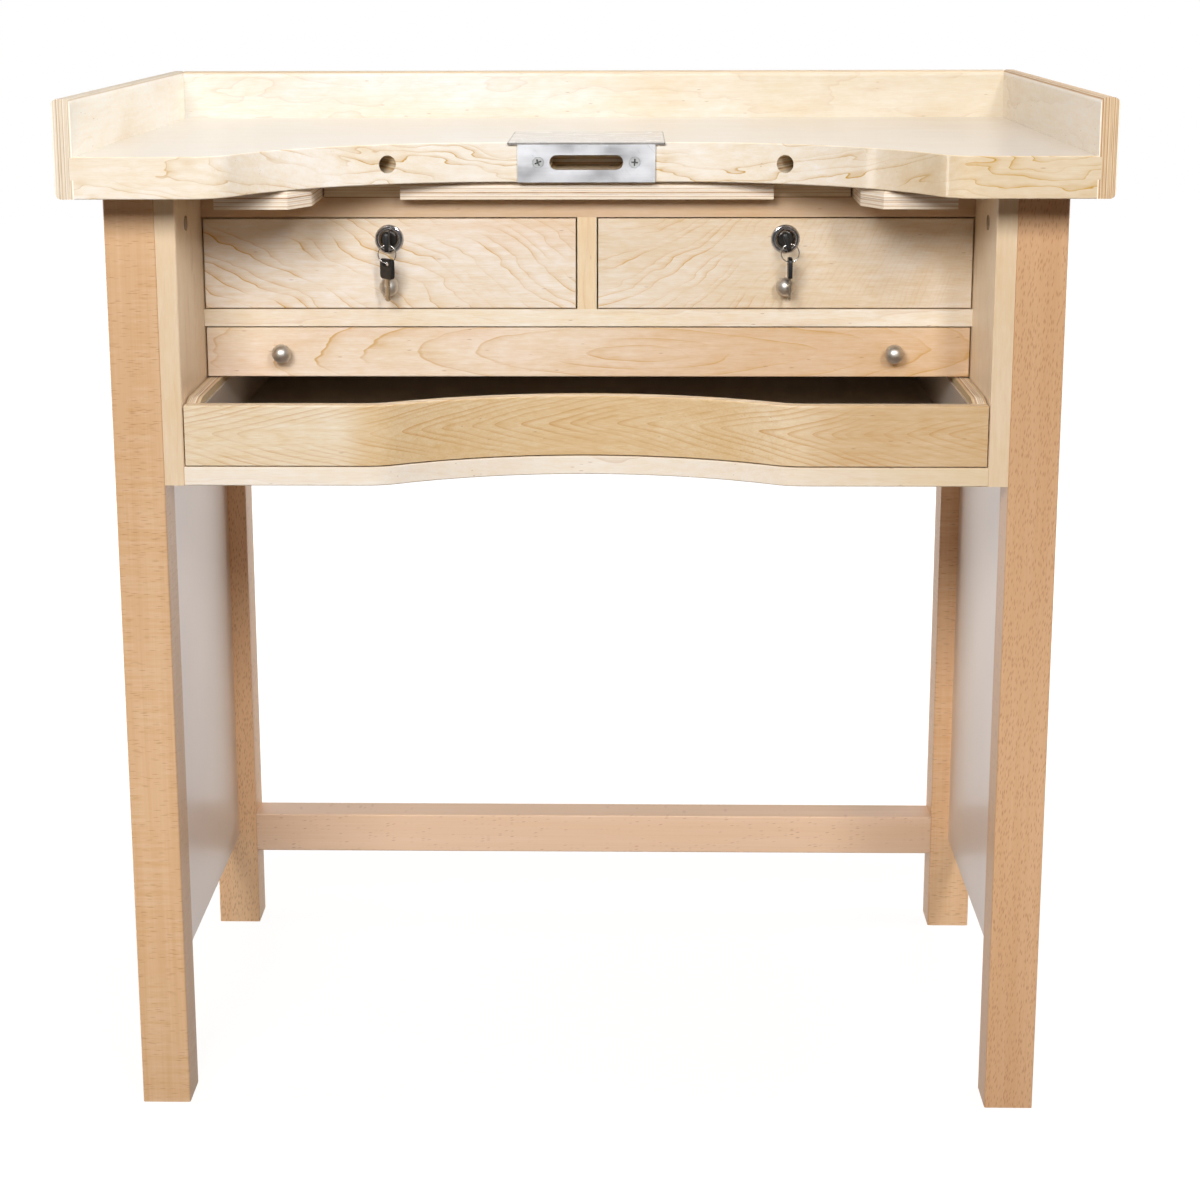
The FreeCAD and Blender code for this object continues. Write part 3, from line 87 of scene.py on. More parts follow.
# finishes are written as sums of wires: a wire is one value inside a material
class Wire:
    def __init__(self, tree, socket):
        self.tree = tree
        self.socket = socket

    def calc(self, operation, *others):
        node = self.tree.nodes.new("ShaderNodeMath")
        node.operation = operation
        for slot, value in zip(node.inputs, (self,) + others):
            join(self.tree, value, slot)
        return Wire(self.tree, node.outputs[0])

    def __add__(self, other):
        return self.calc("ADD", other)

    def __sub__(self, other):
        return self.calc("SUBTRACT", other)

    def __mul__(self, other):
        return self.calc("MULTIPLY", other)

    def __rsub__(self, other):
        return self.calc("MULTIPLY", -1).calc("ADD", other)

    __radd__ = __add__
    __rmul__ = __mul__

    def fraction(self):
        return self.calc("FRACT")

    def floor(self):
        return self.calc("FLOOR")

    def size(self):
        return self.calc("ABSOLUTE")

    def least(self, other):
        return self.calc("MINIMUM", other)

    def most(self, other):
        return self.calc("MAXIMUM", other)

    def over(self, limit):
        return self.calc("GREATER_THAN", limit)

    # 0 below low, 1 above high, and a soft step between them
    def step(self, low, high):
        node = self.tree.nodes.new("ShaderNodeMapRange")
        node.interpolation_type = "SMOOTHSTEP"
        join(self.tree, self, node.inputs["Value"])
        node.inputs["From Min"].default_value = low
        node.inputs["From Max"].default_value = high
        return Wire(self.tree, node.outputs["Result"])


def join(tree, value, slot):
    if isinstance(value, Wire):
        tree.links.new(value.socket, slot)
    else:
        # a written colour has four parts, and a vector slot takes only three
        slot.default_value = value[:len(slot.default_value)] if isinstance(value, tuple) else value


# how much red, green and blue follow when wood grows lighter or darker
woodTone = (0.5, 1.05, 2.1)


# a written colour such as "e8d2b0" as Blender's own colour
def shade(text):
    parts = [int(text[n:n + 2], 16) / 255 for n in (0, 2, 4)]
    linear = [c / 12.92 if c <= 0.04045 else ((c + 0.055) / 1.055) ** 2.4 for c in parts]
    return tuple(linear) + (1,)


class Finish:
    def __init__(self, name, fixed=None):
        self.material = bpy.data.materials.new(name)
        self.material.use_nodes = True
        self.tree = self.material.node_tree
        self.shader = self.tree.nodes["Principled BSDF"]
        for label, value in (fixed or {}).items():
            self.shader.inputs[label].default_value = value

    # x, y and z of the piece itself, so the grain moves with it
    def place(self):
        coordinates = self.tree.nodes.new("ShaderNodeTexCoord")
        return self.split(coordinates.outputs["Object"])

    # which way the surface looks, also as x, y and z of the piece
    def facing(self):
        coordinates = self.tree.nodes.new("ShaderNodeTexCoord")
        return self.split(coordinates.outputs["Normal"])

    def split(self, socket):
        node = self.tree.nodes.new("ShaderNodeSeparateXYZ")
        self.tree.links.new(socket, node.inputs[0])
        return [Wire(self.tree, out) for out in node.outputs]

    def vector(self, a, b, c):
        node = self.tree.nodes.new("ShaderNodeCombineXYZ")
        for value, slot in zip((a, b, c), node.inputs):
            join(self.tree, value, slot)
        return Wire(self.tree, node.outputs[0])

    def noise(self, a, b, c, detail=2.0, rough=0.5):
        node = self.tree.nodes.new("ShaderNodeTexNoise")
        join(self.tree, self.vector(a, b, c), node.inputs["Vector"])
        node.inputs["Scale"].default_value = 1
        node.inputs["Detail"].default_value = detail
        node.inputs["Roughness"].default_value = rough
        return Wire(self.tree, node.outputs["Fac"])

    # noise that changes so often in a metre along each of three directions; its seed moves it along the first
    def grain(self, place, often, seed=0, detail=2.0, rough=0.5):
        a, b, c = [value * times for value, times in zip(place, often)]
        return self.noise(a + seed, b, c, detail, rough)

    # distance from the nearest scattered point, and that point's own chance number
    def scatter(self, a, b, c):
        node = self.tree.nodes.new("ShaderNodeTexVoronoi")
        join(self.tree, self.vector(a, b, c), node.inputs["Vector"])
        node.inputs["Scale"].default_value = 1
        chance = self.split(node.outputs["Color"])[0]
        return Wire(self.tree, node.outputs["Distance"]), chance

    def chance(self, value):
        node = self.tree.nodes.new("ShaderNodeTexWhiteNoise")
        node.noise_dimensions = "1D"
        join(self.tree, value, node.inputs["W"])
        return Wire(self.tree, node.outputs["Value"])

    def mix(self, share, first, second):
        node = self.tree.nodes.new("ShaderNodeMix")
        node.data_type = "RGBA"
        join(self.tree, share, node.inputs[0])
        for value, slot in ((first, node.inputs[6]), (second, node.inputs[7])):
            join(self.tree, shade(value) if isinstance(value, str) else value, slot)
        return Wire(self.tree, node.outputs[2])

    # a colour made lighter or darker
    def dim(self, colour, factor):
        node = self.tree.nodes.new("ShaderNodeVectorMath")
        node.operation = "SCALE"
        join(self.tree, colour, node.inputs[0])
        join(self.tree, factor, node.inputs["Scale"])
        return Wire(self.tree, node.outputs[0])

    # a colour changed the way wood changes: darker is also warmer
    def tone(self, colour, change):
        node = self.tree.nodes.new("ShaderNodeVectorMath")
        node.operation = "MULTIPLY"
        red, green, blue = [1 + change * share for share in woodTone]
        join(self.tree, colour, node.inputs[0])
        join(self.tree, self.vector(red, green, blue), node.inputs[1])
        return Wire(self.tree, node.outputs[0])

    def set(self, label, value):
        join(self.tree, value, self.shader.inputs[label])

    # the colour that the shader has so far, to be mixed once more
    def colour(self):
        return Wire(self.tree, self.shader.inputs["Base Color"].links[0].from_socket)

    def relief(self, height, depth):
        node = self.tree.nodes.new("ShaderNodeBump")
        node.inputs["Distance"].default_value = depth
        join(self.tree, height, node.inputs["Height"])
        self.tree.links.new(node.outputs[0], self.shader.inputs["Normal"])

    def give(self, *pieces):
        for piece in pieces:
            owner = nodes[piece] if isinstance(piece, str) else piece
            if not owner.material_slots:
                owner.data.materials.append(None)
            for slot in owner.material_slots:
                slot.material = self.material


# studio
studio = {
    "ambient": 0.03,
    "ambientTint": "ffa466",
    "room": 0.16,                   # how bright shiny pieces see the room behind the camera
    "roomEdge": (-0.6, 0.2),        # where that room turns into the white surroundings
    "floor": "f4dcc6",
    "floorShade": 0.17,             # share of the floor's colour that answers to the lamps
    "floorGlow": (0.93, 1.1),       # glow under the bench and far away from it
    "floorRings": (0.5, 1.7),       # how far from the middle the one turns into the other
    "floorFront": (0.1, 0.9),       # how far in front shiny pieces see the floor grow dim
    "floorMottle": 3,
    "floorReach": 9,
    "floorDrop": 0.0006,
    "narrow": {"kick": 24},         # lamps that keep their light in a narrow fan, in degrees
    "open": 180,                    # and the fan of all others
    "lamps": (
        # name, place, aim, width, height, watts, tint
        ("key", (-0.75, -2.95, 2.2), (0, -0.1, 0.85), 1.2, 0.9, 74, "fffefc"),
        ("keyRight", (0.95, -2.9, 2.25), (0, -0.1, 0.85), 0.35, 0.9, 36, "fffefc"),
        ("side", (2.5, 0.15, 1.7), (-0.3, -0.1, 0.9), 0.6, 1.2, 32, "ffffff"),
        ("overhead", (0.15, 0.0, 3.1), (0, 0, 0.6), 2.2, 1.6, 20, "ffffff"),
        # these stand below the level of the top and light only the back, the panels and the left side
        ("rearLeft", (-1.6, 2.9, 0.6), (0, 0.3, 0.6), 1.6, 0.8, 21, "ffffff"),
        ("rearRight", (1.6, 2.9, 0.6), (0, 0.3, 0.6), 1.6, 0.8, 21, "ffffff"),
        ("left", (-2.7, -0.2, 0.7), (-0.45, 0, 0.6), 0.8, 0.6, 16, "ffffff"),
        ("kick", (0, -2.6, 0.24), (0, 0.2, 0.24), 1.8, 0.35, 0.55, "ffffff"),
    ),
}


# whether a ray comes from the camera, and whether shiny metal or glass sends it
def rayKinds(tree):
    rays = tree.nodes.new("ShaderNodeLightPath")
    seen = Wire(tree, rays.outputs["Is Camera Ray"])
    mirrored = Wire(tree, rays.outputs["Is Glossy Ray"]) + Wire(tree, rays.outputs["Is Transmission Ray"])
    return seen, mirrored.least(1)


def addLamps():
    for name, place, aim, width, height, watts, tint in studio["lamps"]:
        lamp = bpy.data.lights.new(name, "AREA")
        lamp.shape = "RECTANGLE"
        lamp.size, lamp.size_y = width, height
        lamp.energy = watts
        lamp.color = shade(tint)[:3]
        lamp.spread = math.radians(studio["narrow"].get(name, studio["open"]))
        holder = bpy.data.objects.new(name, lamp)
        holder.location = place
        holder.rotation_euler = (Vector(aim) - Vector(place)).to_track_quat("-Z", "Y").to_euler()
        scene.collection.objects.link(holder)


# white surroundings for the eye and for shiny metal, a dimmer room behind the camera, less light on the wood
def addSurroundings():
    world = bpy.data.worlds.new("studio")
    scene.world = world
    world.use_nodes = True
    tree = world.node_tree
    back = tree.nodes["Background"]
    seen, mirrored = rayKinds(tree)
    split = tree.nodes.new("ShaderNodeSeparateXYZ")
    tree.links.new(tree.nodes.new("ShaderNodeTexCoord").outputs["Generated"], split.inputs[0])
    tint = tree.nodes.new("ShaderNodeMix")
    tint.data_type = "RGBA"
    join(tree, (seen + mirrored).least(1), tint.inputs[0])
    join(tree, shade(studio["ambientTint"]), tint.inputs[6])
    join(tree, shade("ffffff"), tint.inputs[7])
    tree.links.new(tint.outputs[2], back.inputs["Color"])
    behind = Wire(tree, split.outputs[1]).step(*studio["roomEdge"])
    reflected = behind * (1 - studio["room"]) + studio["room"]
    unseen = mirrored * (reflected - studio["ambient"]) + studio["ambient"]
    join(tree, seen + (1 - seen) * unseen, back.inputs["Strength"])


# pale floor that keeps the shadow and glows enough to look white around it
def addFloor():
    reach = studio["floorReach"]
    corners = [(a * reach, b * reach, 0) for a, b in ((-1, -1), (1, -1), (1, 1), (-1, 1))]
    mesh = bpy.data.meshes.new("floor")
    mesh.from_pydata(corners, [], [(0, 1, 2, 3)])
    floor = bpy.data.objects.new("floor", mesh)
    floor.location.z = -studio["floorDrop"]
    scene.collection.objects.link(floor)
    finish = Finish("pale floor", {"Roughness": 0.9, "Specular IOR Level": 0.1, "Emission Color": (1, 1, 1, 1)})
    x, y = finish.place()[:2]
    mottle = finish.noise(x * studio["floorMottle"], y * studio["floorMottle"], 0.0)
    finish.set("Base Color", finish.dim(shade(studio["floor"]), (0.99 + mottle * 0.02) * studio["floorShade"]))
    seen, mirrored = rayKinds(finish.tree)
    near, far = studio["floorGlow"]
    away = (x * x + y * y).calc("SQRT").step(*studio["floorRings"])
    ahead = (y * -1).step(*studio["floorFront"])
    glow = away * (far - near) + near
    unseen = mirrored * (1 - ahead * (1 - studio["room"]))
    finish.set("Emission Strength", glow * (seen + (1 - seen) * unseen))
    finish.give(floor)


addLamps()
addSurroundings()
addFloor()
print("studio lit")


# birch and maple veneer: contour lines of the cut, soft blotches, fine fibres and a few brown flecks
plainVeneer = {
    "pale": "f0e2ca",
    "line": "b98a5a",
    "lines": 60,        # contour lines in a metre across the grain
    "slope": 0,         # and in a metre along it
    "bow": 0,           # how hard the lines curve into arches
    "bowAt": 0,         # where the arches stand
    "fold": None,       # height at which the lines fold into arrowheads
    "reach": 0,         # 0 for open arrowheads; above 0 the lines close into loops around bowAt
    "wander": 1.5,      # how far the lines stray
    "wanderAlong": 5,   # and how often in a metre
    "wanderAcross": 16,
    "wanderThrough": 3,
    "kinks": 0.5,       # how rough they are
    "fade": None,       # where along the grain they grow faint
    "strength": 0.4,
    "crisp": 0.62,      # 1 for thin drawn lines, 0 for soft bands
    "cloud": 0.045,     # how strong the soft blotches are
    "fibre": 0.035,     # and the fine fibres
    "flecks": 0.01,     # share of the places for a brown fleck that have one
    "fleckSize": (110, 700),
    "fleck": "96592c",
    "tint": "d9a877",   # warmer patches
    "patches": 0.12,
    "strips": (),       # strips of another tone, on several fronts painted shade, sheen and highlight: middle, half width, where it ends, share, colour
    "seed": 0,
}


# how often each pattern changes in a metre: along the grain, across it and through the board
veneerSizes = {
    "faint": (9, 30, 9),        # stretches where the lines grow faint
    "patches": (4, 12, 4),
    "blotches": (7, 14, 7),
    "mottle": (60, 150, 60),
    "streaks": (14, 260, 260),
    "fibres": (90, 1100, 1100),
}
# a line begins sharply on one side: where it rises and falls, as shares of the way to the next line
lineEdges = {"sharp": ((0.0, 0.025), (0.035, 0.11)), "soft": ((0.0, 0.03), (0.03, 0.5))}


def veneer(finish, u, v, w, changes):
    look = {**plainVeneer, **changes}
    seed = look["seed"] * 7.3
    place = (u, v, w)
    often = [look[name] for name in ("wanderAlong", "wanderAcross", "wanderThrough")]
    drift = finish.grain(place, often, seed, detail=3.5, rough=look["kinks"]) - 0.5
    arch = u - look["bowAt"]
    rise = v
    if look["fold"] is not None:
        off, run = v - look["fold"], arch * look["reach"]
        rise = (off * off + run * run + 0.002 ** 2).calc("SQRT") * -1
    field = rise * look["lines"] + u * look["slope"] + arch * arch * look["bow"] + drift * (look["wander"] * 4)
    # the place and the darkness of each line vary
    luck = finish.chance(field.floor() + seed)
    past = field.fraction() - luck * 0.5
    sharp, soft = [past.step(*rises) * (1 - past.step(*falls)) for rises, falls in lineEdges.values()]
    dark = finish.grain(place, veneerSizes["faint"], seed, detail=1).step(0.3, 0.6) * (luck * 0.6 + 0.4)
    if look["fade"]:
        dark = dark * (1 - u.step(*look["fade"]) * 0.7)
    lines = (sharp * look["crisp"] + soft * (1.05 - look["crisp"])) * dark
    patches = finish.grain(place, veneerSizes["patches"], seed).step(0.45, 0.75)
    colour = finish.mix(patches * look["patches"], look["pale"], look["tint"])
    # strips of another tone, used on several fronts for painted shade, sheen and highlight
    for middle, full, gone, share, tone in look["strips"]:
        colour = finish.mix((1 - (u - middle).size().step(full, gone)) * share, colour, tone)
    colour = finish.mix(lines * look["strength"], colour, look["line"])
    mottle = finish.grain(place, veneerSizes["mottle"], seed, detail=3)
    clouds = finish.grain(place, veneerSizes["blotches"], seed) + mottle * 0.7 - 0.85
    along, across, through = veneerSizes["fibres"]
    fibres = finish.noise(u * along, v * across + seed, w * through) - 0.5
    streaks = finish.grain(place, veneerSizes["streaks"], seed, detail=3) - 0.5
    colour = finish.tone(colour, clouds * (look["cloud"] * 4) + (fibres + streaks) * (look["fibre"] * 4))
    long, wide = look["fleckSize"]
    far, odds = finish.scatter(u * long + seed, v * wide, w * wide)
    flecks = (1 - far.step(0.12, 0.4)) * odds.over(1 - look["flecks"])
    return finish.mix(flecks * 0.5, colour, look["fleck"]), fibres


# the layers of a plywood edge; t runs from 0 to 1 through the board
plainPlies = {
    "pale": "f3e4ca",
    "dark": "dcbd93",
    "glue": "94683c",
    "glueShare": 0.75,
    "sway": 0.35,           # how far the layers wave, in layers
    "swaySize": (5, 5, 2),
    "speckSize": (240, 240, 60),
    "stainSize": (26, 26, 3.1),
    "glueEdge": (0.34, 0.1),
}


def plies(finish, t, u, v, count, changes, seed):
    look = {**plainPlies, **changes}
    sway = finish.grain((u, v, t), look["swaySize"], seed) - 0.5
    layers = t * count + sway * look["sway"]
    number = layers.floor()
    within = layers - number
    crossing = (number * 0.5).fraction() * 2
    luck = finish.chance(number + seed)
    other = finish.chance(number + seed + 0.5)
    specks = finish.grain((u, v, t), look["speckSize"], seed) - 0.5
    stain = finish.grain((u, v, number), look["stainSize"], seed).step(0.42, 0.7)
    colour = finish.mix(crossing * (luck * 0.6 + 0.4), look["pale"], look["dark"])
    colour = finish.tone(colour, other * 0.05 + specks * 0.2 - 0.02)
    glue = (within - other * 0.5 - 0.25).size().step(*look["glueEdge"])
    glue = glue * (luck * 0.8 + 0.2) * (stain * 0.5 + 0.5)
    relief = crossing * 0.6 + specks * 0.5 - glue * 0.3
    return finish.mix(glue * look["glueShare"], colour, look["glue"]), relief


satin = {"Roughness": 0.45, "Specular IOR Level": 0.5, "Coat Weight": 0.15, "Coat Roughness": 0.3}
boards = {
    "faceEdge": (0.95, 0.7),    # where the cut edge turns into the face, in layers from the surface
    "front": (0.2, 0.3),        # how squarely a surface looks forward where the front begins
    "lipLean": 0.3,             # how far a lip's grain leans over
    "lipCoat": 0.3,
    "glossSize": (9, 30, 30),
    "gloss": 0.14,
    "cutRough": 0.2,
    "depth": 0.0001,
}


# the one axis that is neither of the two
def thirdAxis(first, second):
    return "xyz".replace(first, "").replace(second, "")


# a board of birch plywood. along and through are the axes of its grain and of its thickness, and count is
# its number of layers. A lipped board has veneer on its front as well, except where bare says. The two of a
# pair stand left and right of a middle line, each as thick as paired says.
def birchBoard(piece, along, through, count, face, lip=None, paired=None, cut=None, polish=None, bare=None):
    polish = {**satin, **(polish or {})}
    finish = Finish(piece + " birch", polish)
    rough = polish["Roughness"]
    x, y, z = finish.place()
    axes = {"x": x, "y": y, "z": z}
    low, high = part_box(piece)
    n = "xyz".index(through)
    start, end = low[n], high[n]
    depth = axes[through]
    if paired:
        middle, half = (start + end) / 2, (end - start) / 2
        depth = (depth - middle).size()
        start, end = half - paired, half
    t = (depth - start) * (1 / (end - start))
    u = axes[along]
    across = axes[thirdAxis(along, through)]
    cutColour, cutRelief = plies(finish, t, u, across, count, cut or {}, face["seed"])
    shown, shownRelief = veneer(finish, u, across + axes[through], axes[through], face)
    outer = (t.least(1 - t) * count).step(*boards["faceEdge"])
    if lip:
        # a front panel shows its whole face, other boards only the strip along their edge
        if through == "y":
            rise, back = across, axes[through]
        else:
            rise, back = axes[through] + across * boards["lipLean"], across
        lipColour = veneer(finish, u, rise, back, lip)[0]
        front = (finish.facing()[1] * -1).step(*boards["front"])
        if bare:
            covered = 1 - bare(x, y, z)
            front = front * covered
            outer = outer * covered
        shown = finish.mix(front, shown, lipColour)
        outer = outer.most(front)
    finish.set("Base Color", finish.mix(outer, cutColour, shown))
    finish.relief(outer * shownRelief + (1 - outer) * cutRelief, boards["depth"])
    gloss = finish.grain((u, across, axes[through]), boards["glossSize"]) - 0.5
    if lip:
        rough = front * (satin["Roughness"] - rough) + rough
        finish.set("Coat Weight", front * (boards["lipCoat"] - polish["Coat Weight"]) + polish["Coat Weight"])
    finish.set("Roughness", gloss * boards["gloss"] + (1 - outer) * boards["cutRough"] + rough)
    finish.give(piece)


# bench top: pale satin face, a band of maple around its front, bare plies inside the holes
benchTop = {
    "holes": ((-0.2, 0.4214), (0.2, -0.4214)),      # where each tool hole is in x, and how far it leans
    "holeFront": -0.148,
    "holeHeight": 0.98,
    "holeRadius": 0.00905,
    "holeEdge": 0.01,                               # share of the radius squared over which its wall begins
    "mortise": (0.0378, 0.0078, -0.1216),           # half its length, half its height, where it begins in y
    "layers": 15,
    "face": {"pale": "ebe3d8", "line": "dcc4a2", "lines": 24, "wander": 0.8, "wanderAlong": 1.2,
             "wanderAcross": 9, "strength": 0.25, "cloud": 0.015, "patches": 0.03, "flecks": 0.002, "seed": 1,
             # painted shade: the strip darkens the face towards the right end
             "strips": ((0.5, 0.1, 0.5, 0.8, "ddd0c2"),)},
    "lip": {"pale": "f1e6d5", "line": "c59400", "lines": 85, "slope": 6, "wander": 1.9, "wanderAlong": 9,
            "wanderAcross": 30, "kinks": 0.45, "strength": 0.95, "cloud": 0.08, "patches": 0.1, "flecks": 0.004,
            # painted shade: the strip darkens the front band towards the right end
            "seed": 2, "strips": ((0.5, 0.12, 0.3, 0.9, "dfcaa9"),)},
    "cut": {"pale": "f6e8ce", "dark": "e6cba0", "glue": "865524"},
    "polish": {"Roughness": 0.36, "Specular IOR Level": 0.5, "Coat Weight": 0.5, "Coat Roughness": 0.1},
}


def insideHoles(x, y, z):
    half, tall, start = benchTop["mortise"]
    rise = z - benchTop["holeHeight"]
    inside = (1 - x.size().over(half)) * (1 - rise.size().over(tall)) * y.over(start)
    wall = benchTop["holeRadius"] ** 2
    for hole, lean in benchTop["holes"]:
        # distance from the hole's own centre line
        away = -math.sqrt(1 - lean * lean)
        side = (x - hole) * away - (y - benchTop["holeFront"]) * lean
        off = side * side + rise * rise
        inside = inside.most(1 - off.step((1 - benchTop["holeEdge"]) * wall, (1 + benchTop["holeEdge"]) * wall))
    return inside


birchBoard("bench_top", "x", "z", benchTop["layers"], benchTop["face"], lip=benchTop["lip"],
           cut=benchTop["cut"], polish=benchTop["polish"], bare=insideHoles)


# boards that stand around the top
standingBoards = {
    "layers": 13,
    "left": {"pale": "fff8ea", "line": "e2c79e", "lines": 30, "wander": 1.0, "strength": 0.22, "seed": 3},
    "right": {"pale": "fff5e4", "line": "cfae84", "lines": 30, "wander": 1.0, "strength": 0.25, "seed": 5},
    "back": {"pale": "e4e0d6", "line": "b47a30", "lines": 26, "wander": 1.6,
             "strength": 0.35, "cloud": 0.06, "patches": 0.35, "tint": "e6cca6", "seed": 4,
             # painted shade: the strip darkens the back board towards its right end
             "strips": ((0.5, 0.1, 0.6, 0.8, "dccdb2"),)},
    "leftCut": {"pale": "f2e7d6", "dark": "ddc8a9", "glue": "946a38"},
    "rightCut": {"pale": "e8d2b0", "dark": "d0a473", "glue": "8c5a2c", "glueShare": 0.85},
}
for side in ("left", "right"):
    birchBoard(side + "_side_board", "y", "x", standingBoards["layers"], standingBoards[side],
               cut=standingBoards[side + "Cut"])
birchBoard("back_board", "x", "y", standingBoards["layers"], standingBoards["back"])
print("top and its boards finished")


# cabinet boards
cabinet = {
    "layers": 13,
    "thinLayers": 9,
    "runnerLayers": 5,
    "runner": 0.0065,
    "side": {"line": "c09466", "lines": 36, "wander": 1.2, "strength": 0.25},
    "lip": {"pale": "e4cba9", "line": "bb8242", "lines": 50, "wander": 0.8, "strength": 0.25, "flecks": 0.004},
    "plain": {"pale": "e8d3b2", "line": "c59c6d", "lines": 30, "wander": 1.2, "strength": 0.25, "seed": 8},
    # painted shade: the guides get a darker brown for the shade under the top
    "guide": "a67f56",
}
# painted light: the right side's paler colour makes up for less lamp light on its inner face
for piece, pale, seed in (("left_cabinet_side", "f5dec0", 6), ("right_cabinet_side", "fdeacf", 9)):
    birchBoard(piece, "z", "x", cabinet["layers"], {**cabinet["side"], "pale": pale, "seed": seed},
               lip={**cabinet["lip"], "seed": seed + 1})
for piece, along, through, changes in (
    # painted shade: the top panel's front, under the pull-out board, is given a darker colour
    ("cabinet_top_panel", "x", "z", {"pale": "d2b493", "cloud": 0.06, "seed": 12}),
    ("drawer_shelf", "x", "z", {"pale": "f1e4cf", "cloud": 0.07, "fibre": 0.06, "flecks": 0.014, "seed": 13}),
    ("drawer_divider", "z", "x", {"pale": "ebd3ae", "seed": 14}),
    ("cabinet_bottom_board", "x", "z", {"pale": "f2e7d7", "flecks": 0.02, "seed": 15,
                                        # painted shade: the strip darkens the bottom board's front towards the
                                        # right end
                                        "strips": ((0.45, 0.08, 0.3, 0.9, "e2cba7"),)}),
):
    birchBoard(piece, along, through, cabinet["layers"], cabinet["plain"], lip={**cabinet["lip"], **changes})
birchBoard("cabinet_back", "x", "y", cabinet["thinLayers"], {**cabinet["plain"], "seed": 16})
birchBoard("drawer_runners", "y", "x", cabinet["runnerLayers"], {**cabinet["plain"], "seed": 17},
           paired=cabinet["runner"])
# the guides' darker colour is painted shade
for piece, seed in (("outer_guides", 18), ("inner_guides", 19)):
    birchBoard(piece, "y", "z", cabinet["layers"], {**cabinet["plain"], "pale": cabinet["guide"], "seed": seed})
print("cabinet finished")


# sliding boards
slidingBoards = {
    "layers": 9,
    "cut": {"pale": "fbf1e2", "dark": "dcbf9c", "glue": "7c4420", "glueShare": 0.85},
    "face": {"pale": "f3e6d1", "line": "c9a173", "lines": 34, "wander": 1.0, "strength": 0.3},
}
for piece, seed in (("left_arm_rest", 20), ("right_arm_rest", 21), ("pull_out_board", 22)):
    birchBoard(piece, "x", "z", slidingBoards["layers"], {**slidingBoards["face"], "seed": seed},
               cut=slidingBoards["cut"])


# drawers
drawers = {
    "layers": 13,
    "sideLayers": 9,
    "floorLayers": 3,
    "side": 0.012,
    "front": {"kinks": 0.45, "strength": 0.9, "cloud": 0.09, "fibre": 0.06},
    "left": {"pale": "ecddca", "line": "cb9700", "lines": 62, "slope": 30, "bow": 22, "bowAt": -0.4,
             "wander": 0.85, "wanderAlong": 9, "wanderAcross": 22,
             "patches": 0.25, "tint": "e6bb92", "seed": 23},
    "right": {"pale": "e6d5be", "line": "ce9600", "lines": 85, "bow": -260, "bowAt": -0.01, "fade": (0.12, 0.2),
              "wander": 0.85, "wanderAlong": 10, "wanderAcross": 22, "kinks": 0.5, "strength": 0.95,
              "patches": 0.3, "tint": "e2ba8e", "seed": 24},
    "wide": {"pale": "ecdac4", "line": "c89200", "lines": 105, "fold": 0.7807, "reach": 0.16, "bowAt": 0.06,
             "wander": 0.6, "wanderAcross": 24, "patches": 0.35, "tint": "dfae86", "seed": 25,
             # painted shade: the strip darkens the right end of the wide front, leaving its left paler as if
             # lit
             "strips": ((0.28, 0.12, 0.35, 0.8, "dab68e"),)},
    "box": {"pale": "e6d2b4", "line": "c39a6a", "lines": 40, "wander": 1.0, "strength": 0.25},
}
for name in ("left", "right", "wide"):
    front = {**drawers["front"], **drawers[name]}
    birchBoard(name + "_drawer_front", "x", "y", drawers["layers"], front, lip=front)
    for part, along, through, layers, paired, seed in (
        ("sides", "y", "x", drawers["sideLayers"], drawers["side"], 26),
        ("back", "x", "y", drawers["sideLayers"], None, 27),
        ("bottom", "x", "z", drawers["floorLayers"], None, 28),
    ):
        look = {**drawers["box"], "seed": seed}
        birchBoard(name + "_drawer_" + part, along, through, layers, look, paired=paired)
print("drawers finished")


# filings tray
tray = {
    "layers": 11,
    "sideLayers": 6,
    "backLayers": 9,
    "floorLayers": 5,
    "side": 0.014,
    "front": {"pale": "dbbe92", "line": "bc7c00", "crisp": 0.4, "lines": 170, "slope": 42, "fold": 0.722,
              "wander": 1.3, "wanderAlong": 4, "wanderAcross": 11, "kinks": 0.45, "strength": 0.65,
              "cloud": 0.08, "fibre": 0.08, "patches": 0.15, "tint": "cfa16a", "seed": 29,
              # painted light: the strips give the left wing a paler painted sheen, a narrow painted highlight
              # near x 0.2 and painted shade on the right end
              "strips": ((-0.34, 0.09, 0.13, 0.8, "e9d9bf"), (0.2, 0.015, 0.06, 0.45, "ead7b8"),
                         (0.38, 0.1, 0.2, 0.5, "c9a376"))},
    "box": {"pale": "dcc5a0", "line": "b98d5b", "lines": 36, "wander": 1.0, "strength": 0.25},
    "cut": {"pale": "f4e6cf", "dark": "c79c70", "glue": "60391c", "glueShare": 0.9},
}
birchBoard("tray_front", "x", "y", tray["layers"], tray["front"], lip=tray["front"])
birchBoard("tray_sides", "y", "x", tray["sideLayers"], {**tray["box"], "seed": 30},
           paired=tray["side"], cut=tray["cut"])
birchBoard("tray_back", "x", "y", tray["backLayers"], {**tray["box"], "seed": 31})
birchBoard("tray_bottom", "x", "z", tray["floorLayers"], {**tray["box"], "seed": 32})
print("tray finished")


